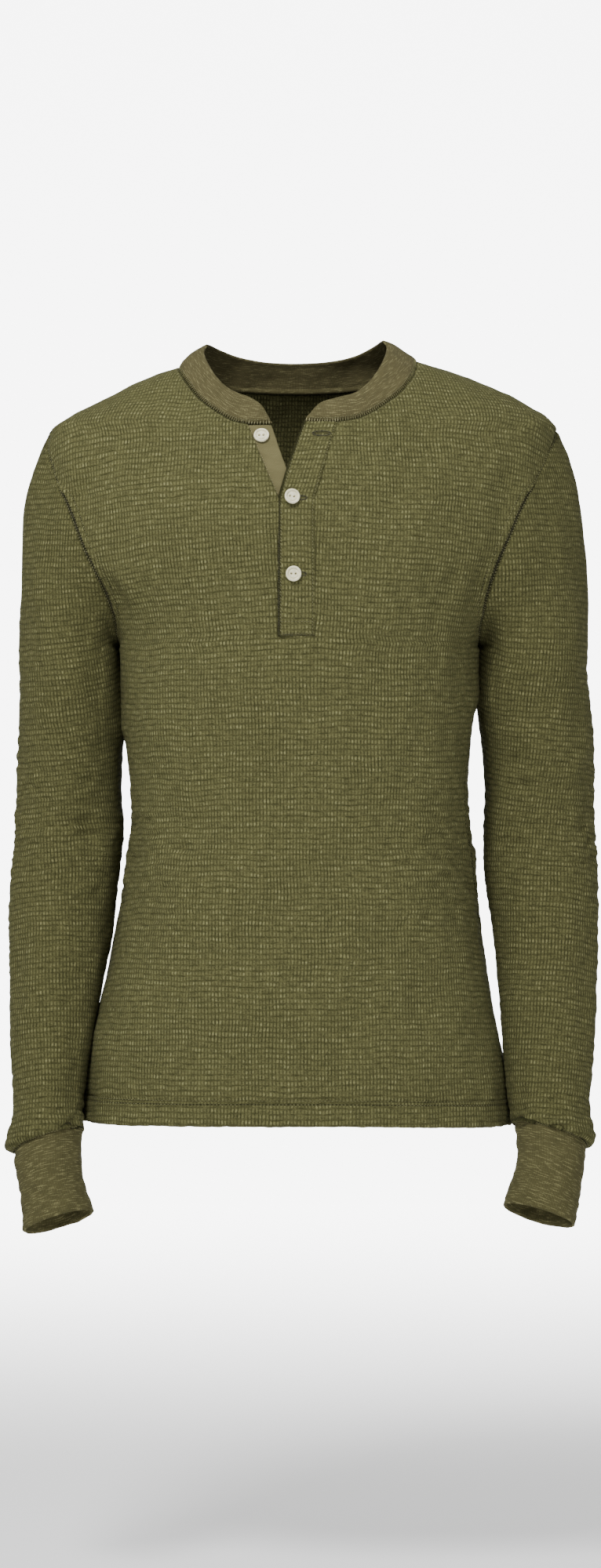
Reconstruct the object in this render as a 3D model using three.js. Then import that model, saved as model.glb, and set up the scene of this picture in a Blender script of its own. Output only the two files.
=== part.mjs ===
import * as THREE from 'three';

// Long-sleeved henley shirt in its worn, hollow form. Millimetres, +Z up, the front faces -Y.
// The origin lies on the middle plane, at the height of the neck ends of the shoulder seams.
// right and left are the shirt's own: right is at -X.

const WALL = 2.0;
const HEM_WALL = 3.4;
const BAND_WALL = 2.2;
const CUFF_WALL = 2.4;
const SEAM_GAP = 0.3;
const HALF_STEPS = 12;
const NECK_STEPS = 6;
const SHOULDER_STEPS = 5;
const BACK_NECK_STEPS = 5;
const SLOT_STEPS = 2;
const SLOT_BOTTOM = -234;
const YOKE_STEPS = 4;
const HEM_STITCH = -613;
const HEM_EDGE = -633;
const BUTTON_DIAMETER = 12.7;

// Torso sections: half-widths right and left, depths to the front and back, corner power,
// and the angle in degrees by which the left side seam swings forward.
const TORSO = [
  { z: 5, right: 80, left: 91, front: 41, back: 43, power: 2.2, swing: 0 },
  { z: 2.3, right: 87, left: 98.4, front: 43, back: 45, power: 2.2, swing: 0 },
  { z: -2.4, right: 99.3, left: 112, front: 46, back: 48, power: 2.2, swing: 0 },
  { z: -8, right: 118.5, left: 128, front: 50, back: 52, power: 2.2, swing: 0 },
  { z: -19, right: 142.5, left: 157, front: 59, back: 62, power: 2.2, swing: 0 },
  { z: -32, right: 167.5, left: 186.5, front: 68, back: 72, power: 2.2, swing: 0 },
  { z: -43, right: 189, left: 206, front: 76, back: 81, power: 2.2, swing: 0 },
  { z: -56, right: 207.2, left: 216.5, front: 86, back: 90, power: 2.2, swing: 0 },
  { z: -78, right: 210, left: 214, front: 98, back: 100, power: 2.2, swing: 0 },
  { z: -100, right: 210, left: 210, front: 107, back: 107, power: 2.25, swing: 0 },
  { z: -122, right: 207, left: 206, front: 113, back: 112, power: 2.3, swing: 0 },
  { z: -150, right: 199, left: 195, front: 118.5, back: 115, power: 2.3, swing: 0 },
  { z: -190, right: 176, left: 172, front: 121.5, back: 117, power: 2.3, swing: 0 },
  { z: -240, right: 149, left: 150.2, front: 121, back: 116, power: 2.3, swing: 0 },
  { z: -250, right: 147.2, left: 148.6, front: 120.5, back: 115, power: 2.35, swing: 0 },
  { z: -285, right: 146.5, left: 148, front: 119, back: 112, power: 2.4, swing: 2 },
  { z: -315, right: 145.3, left: 144.8, front: 118, back: 109, power: 2.4, swing: 7 },
  { z: -350, right: 141.2, left: 143.2, front: 117, back: 106, power: 2.4, swing: 14 },
  { z: -386, right: 140.3, left: 145, front: 117, back: 105, power: 2.4, swing: 16 },
  { z: -421, right: 144.7, left: 148.2, front: 118, back: 107, power: 2.4, swing: 13 },
  { z: -460, right: 150, left: 151.5, front: 119, back: 111, power: 2.4, swing: 4 },
  { z: -506, right: 158.5, left: 158, front: 120, back: 116, power: 2.4, swing: 0 },
  { z: -555, right: 170, left: 167, front: 121, back: 120, power: 2.4, swing: 0 },
  { z: -593, right: 177, left: 173.8, front: 121.5, back: 121, power: 2.4, swing: 0 },
  { z: -626, right: 180, left: 178, front: 122, back: 122, power: 2.4, swing: 0 },
  { z: -640, right: 181, left: 178.8, front: 122, back: 122, power: 2.4, swing: 0 },
];

// Armhole from the shoulder tip down to the armpit: the seam's depths and its half-widths.
// wide is what the back half adds to the half-width.
const ARMHOLE = [
  { z: -56, front: 0, back: 0, right: 207.2, left: 216.5, wide: 0 },
  { z: -66, front: 15, back: 16, right: 208.3, left: 213, wide: 1 },
  { z: -80, front: 29, back: 31, right: 206.5, left: 206.2, wide: 2 },
  { z: -105, front: 48, back: 50, right: 198, left: 194.5, wide: 4 },
  { z: -129, front: 60, back: 61, right: 188.2, left: 183.2, wide: 6 },
  { z: -150, front: 67, back: 67, right: 180, left: 174.6, wide: 7 },
  { z: -172, front: 69, back: 69, right: 169.6, left: 165.2, wide: 7 },
  { z: -188, front: 65, back: 66, right: 162.5, left: 159, wide: 6 },
  { z: -203, front: 56, back: 58, right: 156.6, left: 154.5, wide: 4 },
  { z: -216, front: 43, back: 45, right: 152.4, left: 152, wide: 2 },
  { z: -230, front: 23, back: 24, right: 149.8, left: 150.8, wide: 1 },
  { z: -240, front: 0, back: 0, right: 149, left: 150.2, wide: 0 },
];

// Neckband: the seam's x and height, and the top edge's x, depth and height, from the
// placket over the shoulder's end to the middle of the back.
const NECK_RIGHT = [
  { x: -22, z: -57.3, topX: -23.3, topY: -84, topZ: -54.3 },
  { x: -31.5, z: -57.5, topX: -29.5, topY: -79.5, topZ: -43.2 },
  { x: -41.6, z: -57.3, topX: -38.6, topY: -74.5, topZ: -36 },
  { x: -53.4, z: -54.2, topX: -48.3, topY: -70.5, topZ: -32 },
  { x: -66.5, z: -46.7, topX: -58.8, topY: -64, topZ: -26.2 },
  { x: -80.6, z: -35.4, topX: -68.3, topY: -53.5, topZ: -16 },
  { x: -91.6, z: -20.8, topX: -75.5, topY: -37, topZ: -3.5 },
  { x: -97.6, z: -10, topX: -79.3, topY: -18.5, topZ: 7.5 },
  { x: -99.3, z: -2.4, topX: -76.9, topY: 0, topZ: 16.2 },
];
const NECK_LEFT = [
  { x: 5.9, z: -55.7, topX: 7, topY: -84, topZ: -53 },
  { x: 19.5, z: -56.3, topX: 17.5, topY: -79, topZ: -41 },
  { x: 33.5, z: -56, topX: 31.5, topY: -74.5, topZ: -35.8 },
  { x: 52, z: -51.8, topX: 47, topY: -68.5, topZ: -31 },
  { x: 68.6, z: -42, topX: 58.5, topY: -60, topZ: -21.5 },
  { x: 83.8, z: -29.5, topX: 68, topY: -48, topZ: -8 },
  { x: 93, z: -17, topX: 73.5, topY: -31, topZ: 5 },
  { x: 97.4, z: -6.5, topX: 74.8, topY: -15, topZ: 13 },
  { x: 98.4, z: 2.3, topX: 71.5, topY: 0, topZ: 19.5 },
];
const NECK_BACK = [
  { x: -96.5, z: -6, topX: -74, topY: 17.5, topZ: 17 },
  { x: -87, z: -11.5, topX: -65, topY: 32, topZ: 14 },
  { x: -67, z: -16, topX: -50, topY: 43, topZ: 9.5 },
  { x: -37, z: -18.8, topX: -28, topY: 49.5, topZ: 6 },
  { x: 0, z: -19.6, topX: 0, topY: 52, topZ: 5 },
  { x: 37, z: -18.6, topX: 27, topY: 49.5, topZ: 6.5 },
  { x: 67, z: -15, topX: 48, topY: 43, topZ: 10.5 },
  { x: 87, z: -9, topX: 62, topY: 32, topZ: 16 },
  { x: 96, z: -2, topX: 70, topY: 17.5, topZ: 20 },
];

// Placket in the front: the slot's two edges, the upper strip's free edge, and the
// lower strip's free edge.
const PLACKET = [
  { z: -50, slotRight: -44.5, upper: 8.5, lower: -25, slotLeft: 35.3 },
  { z: -57.3, slotRight: -41.6, upper: 5.2, lower: -22.6, slotLeft: 33.1 },
  { z: -90, slotRight: -28.6, upper: -6.4, lower: -11.8, slotLeft: 23.5 },
  { z: -109, slotRight: -21, upper: -12.2, lower: -4, slotLeft: 17.9 },
  { z: -122, slotRight: -15.9, upper: -15.3, lower: 1.5, slotLeft: 14.1 },
  { z: -150, slotRight: -15.9, upper: -15.5, lower: 4, slotLeft: 14.1 },
  { z: -240, slotRight: -15.9, upper: -15.5, lower: 4, slotLeft: 14.1 },
];

// Sleeve sections: the outer and inner edge, and the faces to the front and back (y).
const SLEEVE_RIGHT = [
  { z: -262, outer: 234.6, inner: 149.6, fore: -52, aft: 68 },
  { z: -315, outer: 236.3, inner: 147.6, fore: -43, aft: 62 },
  { z: -359, outer: 237.6, inner: 149, fore: -37, aft: 57 },
  { z: -394, outer: 239.4, inner: 147.6, fore: -36, aft: 52 },
  { z: -430, outer: 241.2, inner: 150.9, fore: -40, aft: 44 },
  { z: -486, outer: 242.8, inner: 157.4, fore: -50, aft: 33 },
  { z: -526, outer: 242, inner: 165, fore: -58, aft: 23 },
  { z: -555, outer: 240.5, inner: 170.6, fore: -63, aft: 15 },
  { z: -580, outer: 239.3, inner: 174.8, fore: -68, aft: 7 },
  { z: -602, outer: 238.2, inner: 176.8, fore: -73, aft: 0 },
  { z: -622, outer: 237.5, inner: 178.2, fore: -79, aft: -5 },
  { z: -638, outer: 239.4, inner: 178.2, fore: -84, aft: -9 },
  { z: -650, outer: 242.9, inner: 178.6, fore: -86, aft: -11 },
  { z: -660, outer: 241.5, inner: 179, fore: -87, aft: -14 },
];
const SLEEVE_LEFT = [
  { z: -262, outer: 244.6, inner: 152.4, fore: -52, aft: 68 },
  { z: -294, outer: 247, inner: 152.2, fore: -46, aft: 64 },
  { z: -320, outer: 248.4, inner: 155, fore: -42, aft: 61 },
  { z: -359, outer: 250, inner: 157.4, fore: -37, aft: 57 },
  { z: -394, outer: 250.7, inner: 155.9, fore: -36, aft: 52 },
  { z: -430, outer: 251.8, inner: 157.4, fore: -40, aft: 44 },
  { z: -486, outer: 252.4, inner: 165, fore: -50, aft: 33 },
  { z: -526, outer: 250.3, inner: 167.2, fore: -58, aft: 23 },
  { z: -555, outer: 247.8, inner: 170, fore: -63, aft: 15 },
  { z: -580, outer: 245.7, inner: 172.2, fore: -68, aft: 7 },
  { z: -602, outer: 244.2, inner: 174, fore: -73, aft: 0 },
  { z: -622, outer: 242.8, inner: 175.8, fore: -78, aft: -5 },
  { z: -634, outer: 244.2, inner: 177.2, fore: -82, aft: -8 },
  { z: -645, outer: 246.8, inner: 179.6, fore: -85, aft: -10 },
  { z: -656, outer: 245, inner: 180.6, fore: -86, aft: -13 },
];

// Cuff sections, from the seam down to the open end.
const CUFF_RIGHT = [
  { z: -636, outer: 233.5, inner: 178.2, fore: -79, aft: -19 },
  { z: -665, outer: 234, inner: 179.8, fore: -86, aft: -27 },
  { z: -682, outer: 231, inner: 178.4, fore: -91, aft: -33 },
  { z: -703, outer: 228, inner: 170.4, fore: -98, aft: -39 },
  { z: -724, outer: 226.6, inner: 164.5, fore: -105, aft: -45 },
];
const CUFF_LEFT = [
  { z: -630, outer: 238.5, inner: 178.5, fore: -78, aft: -18 },
  { z: -655, outer: 238.2, inner: 180.6, fore: -84, aft: -25 },
  { z: -672, outer: 235.2, inner: 180.3, fore: -89, aft: -31 },
  { z: -693, outer: 231, inner: 173.4, fore: -96, aft: -37 },
  { z: -718, outer: 227.4, inner: 164.5, fore: -104, aft: -44 },
];

// Rings of a sleeve below the armhole's fan, above the cuff seam's own height: how far the
// ring is above that seam, and how far it drops outward and rises forward.
const SLEEVE_RINGS = [
  { above: 387, drop: 0, rise: 0 },
  { above: 362, drop: 0, rise: 0 },
  { above: 336, drop: 0, rise: 0 },
  { above: 311, drop: 0, rise: 0 },
  { above: 287, drop: 0, rise: 0 },
  { above: 263, drop: 0, rise: 0 },
  { above: 237, drop: 0, rise: 1 },
  { above: 209, drop: 0, rise: 2 },
  { above: 179, drop: 1, rise: 3 },
  { above: 149, drop: 2, rise: 4 },
  { above: 119, drop: 3, rise: 5 },
  { above: 89, drop: 4, rise: 6 },
  { above: 59, drop: 5, rise: 7 },
  { above: 34, drop: 7, rise: 8 },
  { above: 17, drop: 9, rise: 9 },
  { above: 8, drop: 10, rise: 9 },
  { above: 3, drop: 10, rise: 9 },
];
const SEAM_RING = { above: 0, drop: 9, rise: 9 };
const CUFF_RINGS = [
  { above: -22, drop: 9, rise: 9 },
  { above: -44, drop: 8.5, rise: 8.5 },
  { above: -65, drop: 8.5, rise: 8 },
];
const CUFF_SEAM = { right: -649, left: -644 };
const FAN = [0.1, 0.25, 0.43, 0.62, 0.81];
const FAN_START = 0.68;
const FAN_END = 0.85;

// Heights of the torso rows from the hem to just below the armpit.
const BODY_ROWS = [
  HEM_EDGE, -623, HEM_STITCH - 1, HEM_STITCH + 1, -590, -564, -536, -508, -480,
  -453, -427, -402, -378, -354, -330, -306, -283, -262, -249,
];
const HEM_SHAPE = { front: 1.5, right: -1, left: -4.5, back: -8 };
const HEM_FADES = 75;
const CHEST_HOLLOW = 38;

// Largest folds: a soft trough from (x1, y1, z1) to (x2, y2, z2), pushed in along push.
const FOLDS = [
  { x1: 172, y1: -66, z1: -108, x2: 143, y2: -62, z2: -205, width: 11, depth: 4, push: [-0.2, 1, 0] },
  { x1: -176, y1: -64, z1: -112, x2: -144, y2: -60, z2: -208, width: 11, depth: 4, push: [0.2, 1, 0] },
  { x1: 170, y1: 75, z1: -120, x2: 138, y2: 82, z2: -215, width: 12, depth: 4, push: [-0.2, -1, 0] },
  { x1: -172, y1: 75, z1: -125, x2: -136, y2: 84, z2: -220, width: 12, depth: 4, push: [0.2, -1, 0] },
  { x1: 138, y1: -45, z1: -428, x2: 90, y2: -98, z2: -402, width: 13, depth: 3, push: [-0.5, 0.8, 0] },
  { x1: -134, y1: -50, z1: -404, x2: -84, y2: -100, z2: -386, width: 13, depth: 3, push: [0.5, 0.8, 0] },
  { x1: -46, y1: 104, z1: -330, x2: -70, y2: 104, z2: -500, width: 16, depth: 5, push: [0.2, -1, 0] },
  { x1: 30, y1: 106, z1: -350, x2: 58, y2: 112, z2: -520, width: 17, depth: 5, push: [0, -1, 0] },
  { x1: -92, y1: 92, z1: -392, x2: 88, y2: 92, z2: -410, width: 15, depth: 3.5, push: [0, -1, 0] },
  { x1: 238, y1: -10, z1: -352, x2: 176, y2: -34, z2: -396, width: 12, depth: 3.5, push: [-0.3, 1, 0] },
  { x1: 172, y1: -34, z1: -338, x2: 228, y2: -22, z2: -306, width: 12, depth: 2.5, push: [0, 1, 0] },
  { x1: -228, y1: -14, z1: -366, x2: -168, y2: -34, z2: -402, width: 12, depth: 3.5, push: [0.3, 1, 0] },
  { x1: -164, y1: -36, z1: -330, x2: -220, y2: -26, z2: -300, width: 12, depth: 2.5, push: [0, 1, 0] },
  { x1: 232, y1: 34, z1: -372, x2: 176, y2: 44, z2: -352, width: 13, depth: 4, push: [0, -1, 0] },
  { x1: -226, y1: 34, z1: -380, x2: -166, y2: 44, z2: -362, width: 13, depth: 4, push: [0, -1, 0] },
  { x1: 226, y1: 60, z1: -118, x2: 172, y2: 74, z2: -214, width: 12, depth: 3, push: [0, -1, 0] },
  { x1: -222, y1: 60, z1: -122, x2: -172, y2: 74, z2: -218, width: 12, depth: 3, push: [0, -1, 0] },
];

const OLIVE = 0x68653f;
const OLIVE_SMOOTH = 0x716c48;
const OLIVE_FACING = 0x827d57;
const SHELL_WHITE = 0xdedccf;

const SIDES = { right: -1, left: 1 };

function mix(a, b, t) {
  return a + (b - a) * t;
}

function clamp(value, low, high) {
  return Math.min(high, Math.max(low, value));
}

function smooth(t) {
  const u = clamp(t, 0, 1);
  return u * u * (3 - 2 * u);
}

// A smooth reading of one column of a table whose rows go down in z.
function read(table, column, z) {
  let k = 1;
  while (k < table.length - 1 && table[k].z > z) k += 1;
  const slope = (i) => {
    const p = table[Math.max(i - 1, 0)];
    const q = table[Math.min(i + 1, table.length - 1)];
    return (q[column] - p[column]) / (q.z - p.z);
  };
  const [a, b] = [table[k - 1], table[k]];
  const h = b.z - a.z;
  const t = clamp((z - a.z) / h, 0, 1);
  const s = 1 - t;
  const ends = a[column] * s * s * (1 + 2 * t) + b[column] * t * t * (3 - 2 * t);
  return ends + slope(k - 1) * h * t * s * s - slope(k) * h * t * t * s;
}

function even(points, steps) {
  const run = [0];
  for (let k = 1; k < points.length; k += 1) {
    run.push(run[k - 1] + points[k].distanceTo(points[k - 1]));
  }
  const total = run[run.length - 1];
  const out = [];
  let k = 1;
  for (let i = 0; i <= steps; i += 1) {
    const at = (total * i) / steps;
    while (k < points.length - 1 && run[k] < at) k += 1;
    const t = (at - run[k - 1]) / (run[k] - run[k - 1]);
    out.push(points[k - 1].clone().lerp(points[k], t));
  }
  return out;
}

// Half of an armhole, from the shoulder tip to the armpit.
function armholeLine(side, face) {
  const points = ARMHOLE.map((row) => {
    const wide = face > 0 ? row.wide : 0;
    const depth = face > 0 ? row.back : row.front;
    return new THREE.Vector3(SIDES[side] * (row[side] + wide), face * depth, row.z);
  });
  return new THREE.CatmullRomCurve3(points, false, 'centripetal').getPoints(220);
}

const ARMHOLE_LINES = {
  right: { [-1]: armholeLine('right', -1), [1]: armholeLine('right', 1) },
  left: { [-1]: armholeLine('left', -1), [1]: armholeLine('left', 1) },
};
const TIP_Z = ARMHOLE[0].z;
const PIT_Z = ARMHOLE[ARMHOLE.length - 1].z;

function onArmhole(side, face, z) {
  const line = ARMHOLE_LINES[side][face];
  let k = 1;
  while (k < line.length - 1 && line[k].z > z) k += 1;
  const t = clamp((z - line[k - 1].z) / (line[k].z - line[k - 1].z), 0, 1);
  return line[k - 1].clone().lerp(line[k], t);
}

function section(side, face, z) {
  const power = read(TORSO, 'power', z);
  const depth = read(TORSO, face > 0 ? 'back' : 'front', z);
  let half = read(TORSO, side, z);
  if (z < TIP_Z && z > PIT_Z) {
    const p = onArmhole(side, face, z);
    half = Math.abs(p.x) / (1 - (Math.abs(p.y) / depth) ** power) ** (1 / power);
  }
  return { half, depth, power };
}

// A point of the torso: angle 0 is the side, PI / 2 the middle of the back, -PI / 2 of the front.
function torso(side, z, angle) {
  const face = angle > 0 ? 1 : -1;
  const { half, depth, power } = section(side, face, z);
  const x = half * Math.max(0, Math.cos(angle)) ** (2 / power);
  let y = face * depth * Math.abs(Math.sin(angle)) ** (2 / power);
  if (z < TIP_Z && z > PIT_Z) {
    const end = Math.abs(onArmhole(side, face, z).x);
    const s = clamp((x - 0.42 * end) / (0.58 * end), 0, 1);
    const weight = Math.sin((Math.PI * (TIP_Z - z)) / (TIP_Z - PIT_Z));
    y -= face * CHEST_HOLLOW * weight * s * s * (1 - s);
  }
  return new THREE.Vector3(SIDES[side] * x, y, z);
}

function angleAt(side, face, x, z) {
  const { half, power } = section(side, face, z);
  return face * Math.acos(clamp(Math.abs(x) / half, 0, 1) ** (power / 2));
}

function seamAngle(side, z) {
  return side === 'left' ? (-read(TORSO, 'swing', z) * Math.PI) / 180 : 0;
}

// The side's end of a row: on the side seam, or on the armhole.
function endAngle(side, face, z) {
  if (z <= PIT_Z) return seamAngle(side, z);
  if (z >= TIP_Z) return 0;
  const end = onArmhole(side, face, z);
  return angleAt(side, face, end.x, z);
}

// A row from the side's end to the given x near the middle, in even steps, by angles.
function rowAngles(side, face, z, innerX, steps) {
  const from = endAngle(side, face, z);
  const to = angleAt(side, face, innerX, z);
  const dense = [];
  for (let i = 0; i <= 80; i += 1) dense.push(torso(side, z, mix(from, to, i / 80)));
  const run = [0];
  for (let i = 1; i < dense.length; i += 1) run.push(run[i - 1] + dense[i].distanceTo(dense[i - 1]));
  const out = [];
  let k = 1;
  for (let i = 0; i <= steps; i += 1) {
    const at = (run[80] * i) / steps;
    while (k < 80 && run[k] < at) k += 1;
    out.push(mix(from, to, (k - 1 + (at - run[k - 1]) / (run[k] - run[k - 1])) / 80));
  }
  return out;
}

function hemShift(point) {
  const weight = smooth((HEM_EDGE + HEM_FADES - point.z) / HEM_FADES);
  const across = clamp(Math.abs(point.x) / 180, 0, 1) ** 2;
  const middle = point.y > 0 ? HEM_SHAPE.back : HEM_SHAPE.front;
  const side = point.x > 0 ? HEM_SHAPE.left : HEM_SHAPE.right;
  return weight * mix(middle, side, across);
}

function folded(point) {
  const out = point.clone();
  FOLDS.forEach((fold) => {
    const a = new THREE.Vector3(fold.x1, fold.y1, fold.z1);
    const b = new THREE.Vector3(fold.x2, fold.y2, fold.z2);
    const ab = b.clone().sub(a);
    const t = point.clone().sub(a).dot(ab) / ab.lengthSq();
    const near = a.clone().addScaledVector(ab, clamp(t, 0, 1));
    const off = point.distanceTo(near) / fold.width;
    const push = new THREE.Vector3(...fold.push).normalize();
    out.addScaledVector(push, fold.depth * Math.exp(-off * off));
  });
  return out;
}

function worn(point) {
  const shifted = point.clone();
  shifted.z += hemShift(point);
  return folded(shifted);
}

const ARM_STEPS = {
  right: { [-1]: even(ARMHOLE_LINES.right[-1], HALF_STEPS), [1]: even(ARMHOLE_LINES.right[1], HALF_STEPS) },
  left: { [-1]: even(ARMHOLE_LINES.left[-1], HALF_STEPS), [1]: even(ARMHOLE_LINES.left[1], HALF_STEPS) },
};

function shoulderPoint(side, t) {
  const top = side === 'right' ? NECK_RIGHT[NECK_RIGHT.length - 1].z : NECK_LEFT[NECK_LEFT.length - 1].z;
  return torso(side, mix(TIP_Z, top, t), 0);
}

function neckPoint(row, face) {
  const side = row.x < 0 ? 'right' : 'left';
  return torso(side, row.z, angleAt(side, face, row.x, row.z));
}

// The top boundary of one half of a panel, from the shoulder tip to the middle.
function topLine(side, face) {
  const line = [];
  for (let i = 0; i < SHOULDER_STEPS; i += 1) line.push(shoulderPoint(side, i / SHOULDER_STEPS));
  const rows = side === 'right' ? NECK_RIGHT : NECK_LEFT;
  const front = rows.slice(2).reverse().map((row) => neckPoint(row, -1));
  if (face < 0) return line.concat(front);
  const back = NECK_BACK.slice(0, BACK_NECK_STEPS);
  const mirrored = NECK_BACK.slice(-BACK_NECK_STEPS).reverse();
  const chosen = side === 'right' ? back : mirrored;
  return line.concat([front[0]], chosen.map((row) => neckPoint(row, 1)));
}

// One half of a torso panel, as rows of points from its side to its middle.
function halfPanel(side, face, innerAt, bodyMid) {
  const top = topLine(side, face);
  const steps = top.length - 1;
  const rows = BODY_ROWS.map((z) => {
    const angles = rowAngles(side, face, z, innerAt(z), steps);
    return angles.map((angle) => torso(side, z, angle));
  });
  const arm = ARM_STEPS[side][face];
  const base = HALF_STEPS - YOKE_STEPS;
  let last = [];
  for (let i = 0; i <= base; i += 1) {
    const end = arm[HALF_STEPS - i];
    const mid = mix(PIT_Z + bodyMid.low, bodyMid.high, i / base);
    const at = (j) => mix(end.z, mid, smooth(j / steps));
    last = [];
    const row = [];
    for (let j = 0; j <= steps; j += 1) {
      const z = at(j);
      const angle = rowAngles(side, face, z, innerAt(z), steps)[j];
      last.push({ z, angle });
      row.push(j === 0 ? end.clone() : torso(side, z, angle));
    }
    rows.push(row);
  }
  for (let i = 1; i <= YOKE_STEPS; i += 1) {
    const end = arm[YOKE_STEPS - i];
    const atArm = (end.z - last[0].z) / (TIP_Z - last[0].z);
    const row = [];
    for (let j = 0; j <= steps; j += 1) {
      const t = mix(atArm, i / YOKE_STEPS, smooth(j / 3));
      const z = mix(last[j].z, top[j].z, t);
      const angle = mix(last[j].angle, angleAt(side, face, top[j].x, top[j].z), t);
      const lifted = i === YOKE_STEPS ? top[j].clone() : torso(side, z, angle);
      row.push(j === 0 ? end.clone() : lifted);
    }
    rows.push(row);
  }
  return rows;
}

// Joins two halves into a panel whose columns run to the right as seen from outside.
function wholePanel(first, second, between) {
  return first.map((row, i) => {
    const middle = between(row[row.length - 1], second[i][second[i].length - 1], i);
    return row.concat(middle, second[i].slice().reverse()).map(worn);
  });
}

function frontPanel() {
  const mid = { low: SLOT_BOTTOM - PIT_Z, high: -109 };
  const right = halfPanel('right', -1, (z) => read(PLACKET, 'slotRight', z), mid);
  const left = halfPanel('left', -1, (z) => read(PLACKET, 'slotLeft', z), mid);
  return wholePanel(right, left, (a, b) => {
    const x = mix(a.x, b.x, 1 / SLOT_STEPS);
    const side = x < 0 ? 'right' : 'left';
    return [torso(side, mix(a.z, b.z, 0.5), angleAt(side, -1, x, mix(a.z, b.z, 0.5)))];
  });
}

function backPanel() {
  const mid = { low: 0, high: -88 };
  const left = halfPanel('left', 1, () => 0, mid);
  const right = halfPanel('right', 1, () => 0, mid);
  left.forEach((row) => row.pop());
  right.forEach((row) => row.pop());
  const centre = halfPanel('left', 1, () => 0, mid).map((row) => row[row.length - 1]);
  return wholePanel(left, right, (a, b, i) => [centre[i]]);
}

const SLEEVE_TABLES = { right: SLEEVE_RIGHT, left: SLEEVE_LEFT };
const CUFF_TABLES = { right: CUFF_RIGHT, left: CUFF_LEFT };

function tubePoint(table, side, z, out, fore) {
  const [outer, inner] = [read(table, 'outer', z), read(table, 'inner', z)];
  const [front, back] = [read(table, 'fore', z), read(table, 'aft', z)];
  const x = mix(inner, outer, (out + 1) / 2);
  return new THREE.Vector3(SIDES[side] * x, mix(back, front, (fore + 1) / 2), z);
}

// A ring of a sleeve or cuff, from its outer edge round by the front, in even steps.
function ring(table, side, shape) {
  const centre = CUFF_SEAM[side] + shape.above;
  const half = (face) => {
    const dense = [];
    for (let i = 0; i <= 60; i += 1) {
      const turn = (Math.PI * i) / 60;
      const out = Math.cos(turn);
      const fore = -face * Math.sin(turn);
      dense.push(tubePoint(table, side, centre - shape.drop * out + shape.rise * fore, out, fore));
    }
    return even(dense, HALF_STEPS);
  };
  return { front: half(-1), back: half(1) };
}

// Columns of a tube run to the right as seen from outside, from its outer edge.
function aroundTube(side, front, back) {
  const [first, second] = side === 'right' ? [front, back] : [back, front];
  return first.concat(second.slice(1, -1).reverse());
}

function fanDirection(side, face, t) {
  const c = Math.cos(Math.PI * t);
  const turned = 0.28 * Math.sin(Math.PI * t);
  return new THREE.Vector3(SIDES[side] * (0.8 - 0.2 * c), -face * turned, -0.38 - 0.4 * c).normalize();
}

function sleeve(side) {
  const table = SLEEVE_TABLES[side];
  const arm = ARM_STEPS[side];
  const first = ring(table, side, SLEEVE_RINGS[0]);
  const rings = [aroundTube(side, arm[-1], arm[1])];
  FAN.forEach((s) => {
    const half = (face, section0) => arm[face].map((start, k) => {
      const end = section0[k];
      const reach = start.distanceTo(end);
      const out = fanDirection(side, face, k / HALF_STEPS);
      const point = start.clone().multiplyScalar((1 + 2 * s) * (1 - s) ** 2);
      point.addScaledVector(end, s * s * (3 - 2 * s));
      point.addScaledVector(out, reach * FAN_START * s * (1 - s) ** 2);
      point.z += reach * FAN_END * s * s * (1 - s);
      return point;
    });
    rings.push(aroundTube(side, half(-1, first.front), half(1, first.back)));
  });
  SLEEVE_RINGS.forEach((shape) => {
    const { front, back } = ring(table, side, shape);
    rings.push(aroundTube(side, front, back));
  });
  const seam = ring(CUFF_TABLES[side], side, SEAM_RING);
  rings.push(aroundTube(side, seam.front, seam.back));
  return rings.reverse().map((row) => row.map(folded));
}

function cuff(side) {
  const table = CUFF_TABLES[side];
  const rings = [SEAM_RING].concat(CUFF_RINGS).map((shape) => {
    const { front, back } = ring(table, side, shape);
    return aroundTube(side, front, back);
  });
  return rings.reverse().map((row) => row.map(folded));
}

// The neckband from its left front end round the back to its right front end.
function neckband() {
  const right = NECK_RIGHT.slice().reverse().map((row) => ({ row, face: -1 }));
  const left = NECK_LEFT.map((row) => ({ row, face: -1 }));
  const back = NECK_BACK.slice().reverse().map((row) => ({ row, face: 1 }));
  const around = left.concat(back, right);
  const rises = [0, 0.34, 0.68, 1];
  return rises.map((t) => around.map(({ row, face }) => {
    const low = worn(neckPoint(row, face));
    const high = new THREE.Vector3(row.topX, row.topY, row.topZ);
    const point = low.clone().lerp(high, t);
    const out = new THREE.Vector3(low.x, low.y, 0).normalize();
    const wide = low.distanceTo(high);
    return point.addScaledVector(out, 0.16 * wide * t * (1 - t) * 2);
  }));
}

// A strip of the placket, on the front panel's surface and raised off it.
function strip(fromColumn, toColumn, insets, heights, raise) {
  return heights.map((z) => {
    const [a, b] = [read(PLACKET, fromColumn, z) + insets[0], read(PLACKET, toColumn, z) - insets[1]];
    return [0, 0.5, 1].map((t) => {
      const x = mix(a, b, t);
      const on = (dx, dz) => {
        const side = x + dx < 0 ? 'right' : 'left';
        return worn(torso(side, z + dz, angleAt(side, -1, x + dx, z + dz)));
      };
      const across = on(2, 0).sub(on(-2, 0));
      const up = on(0, 2).sub(on(0, -2));
      const normal = across.cross(up).normalize();
      return on(0, 0).addScaledVector(normal, raise);
    });
  });
}

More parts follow.
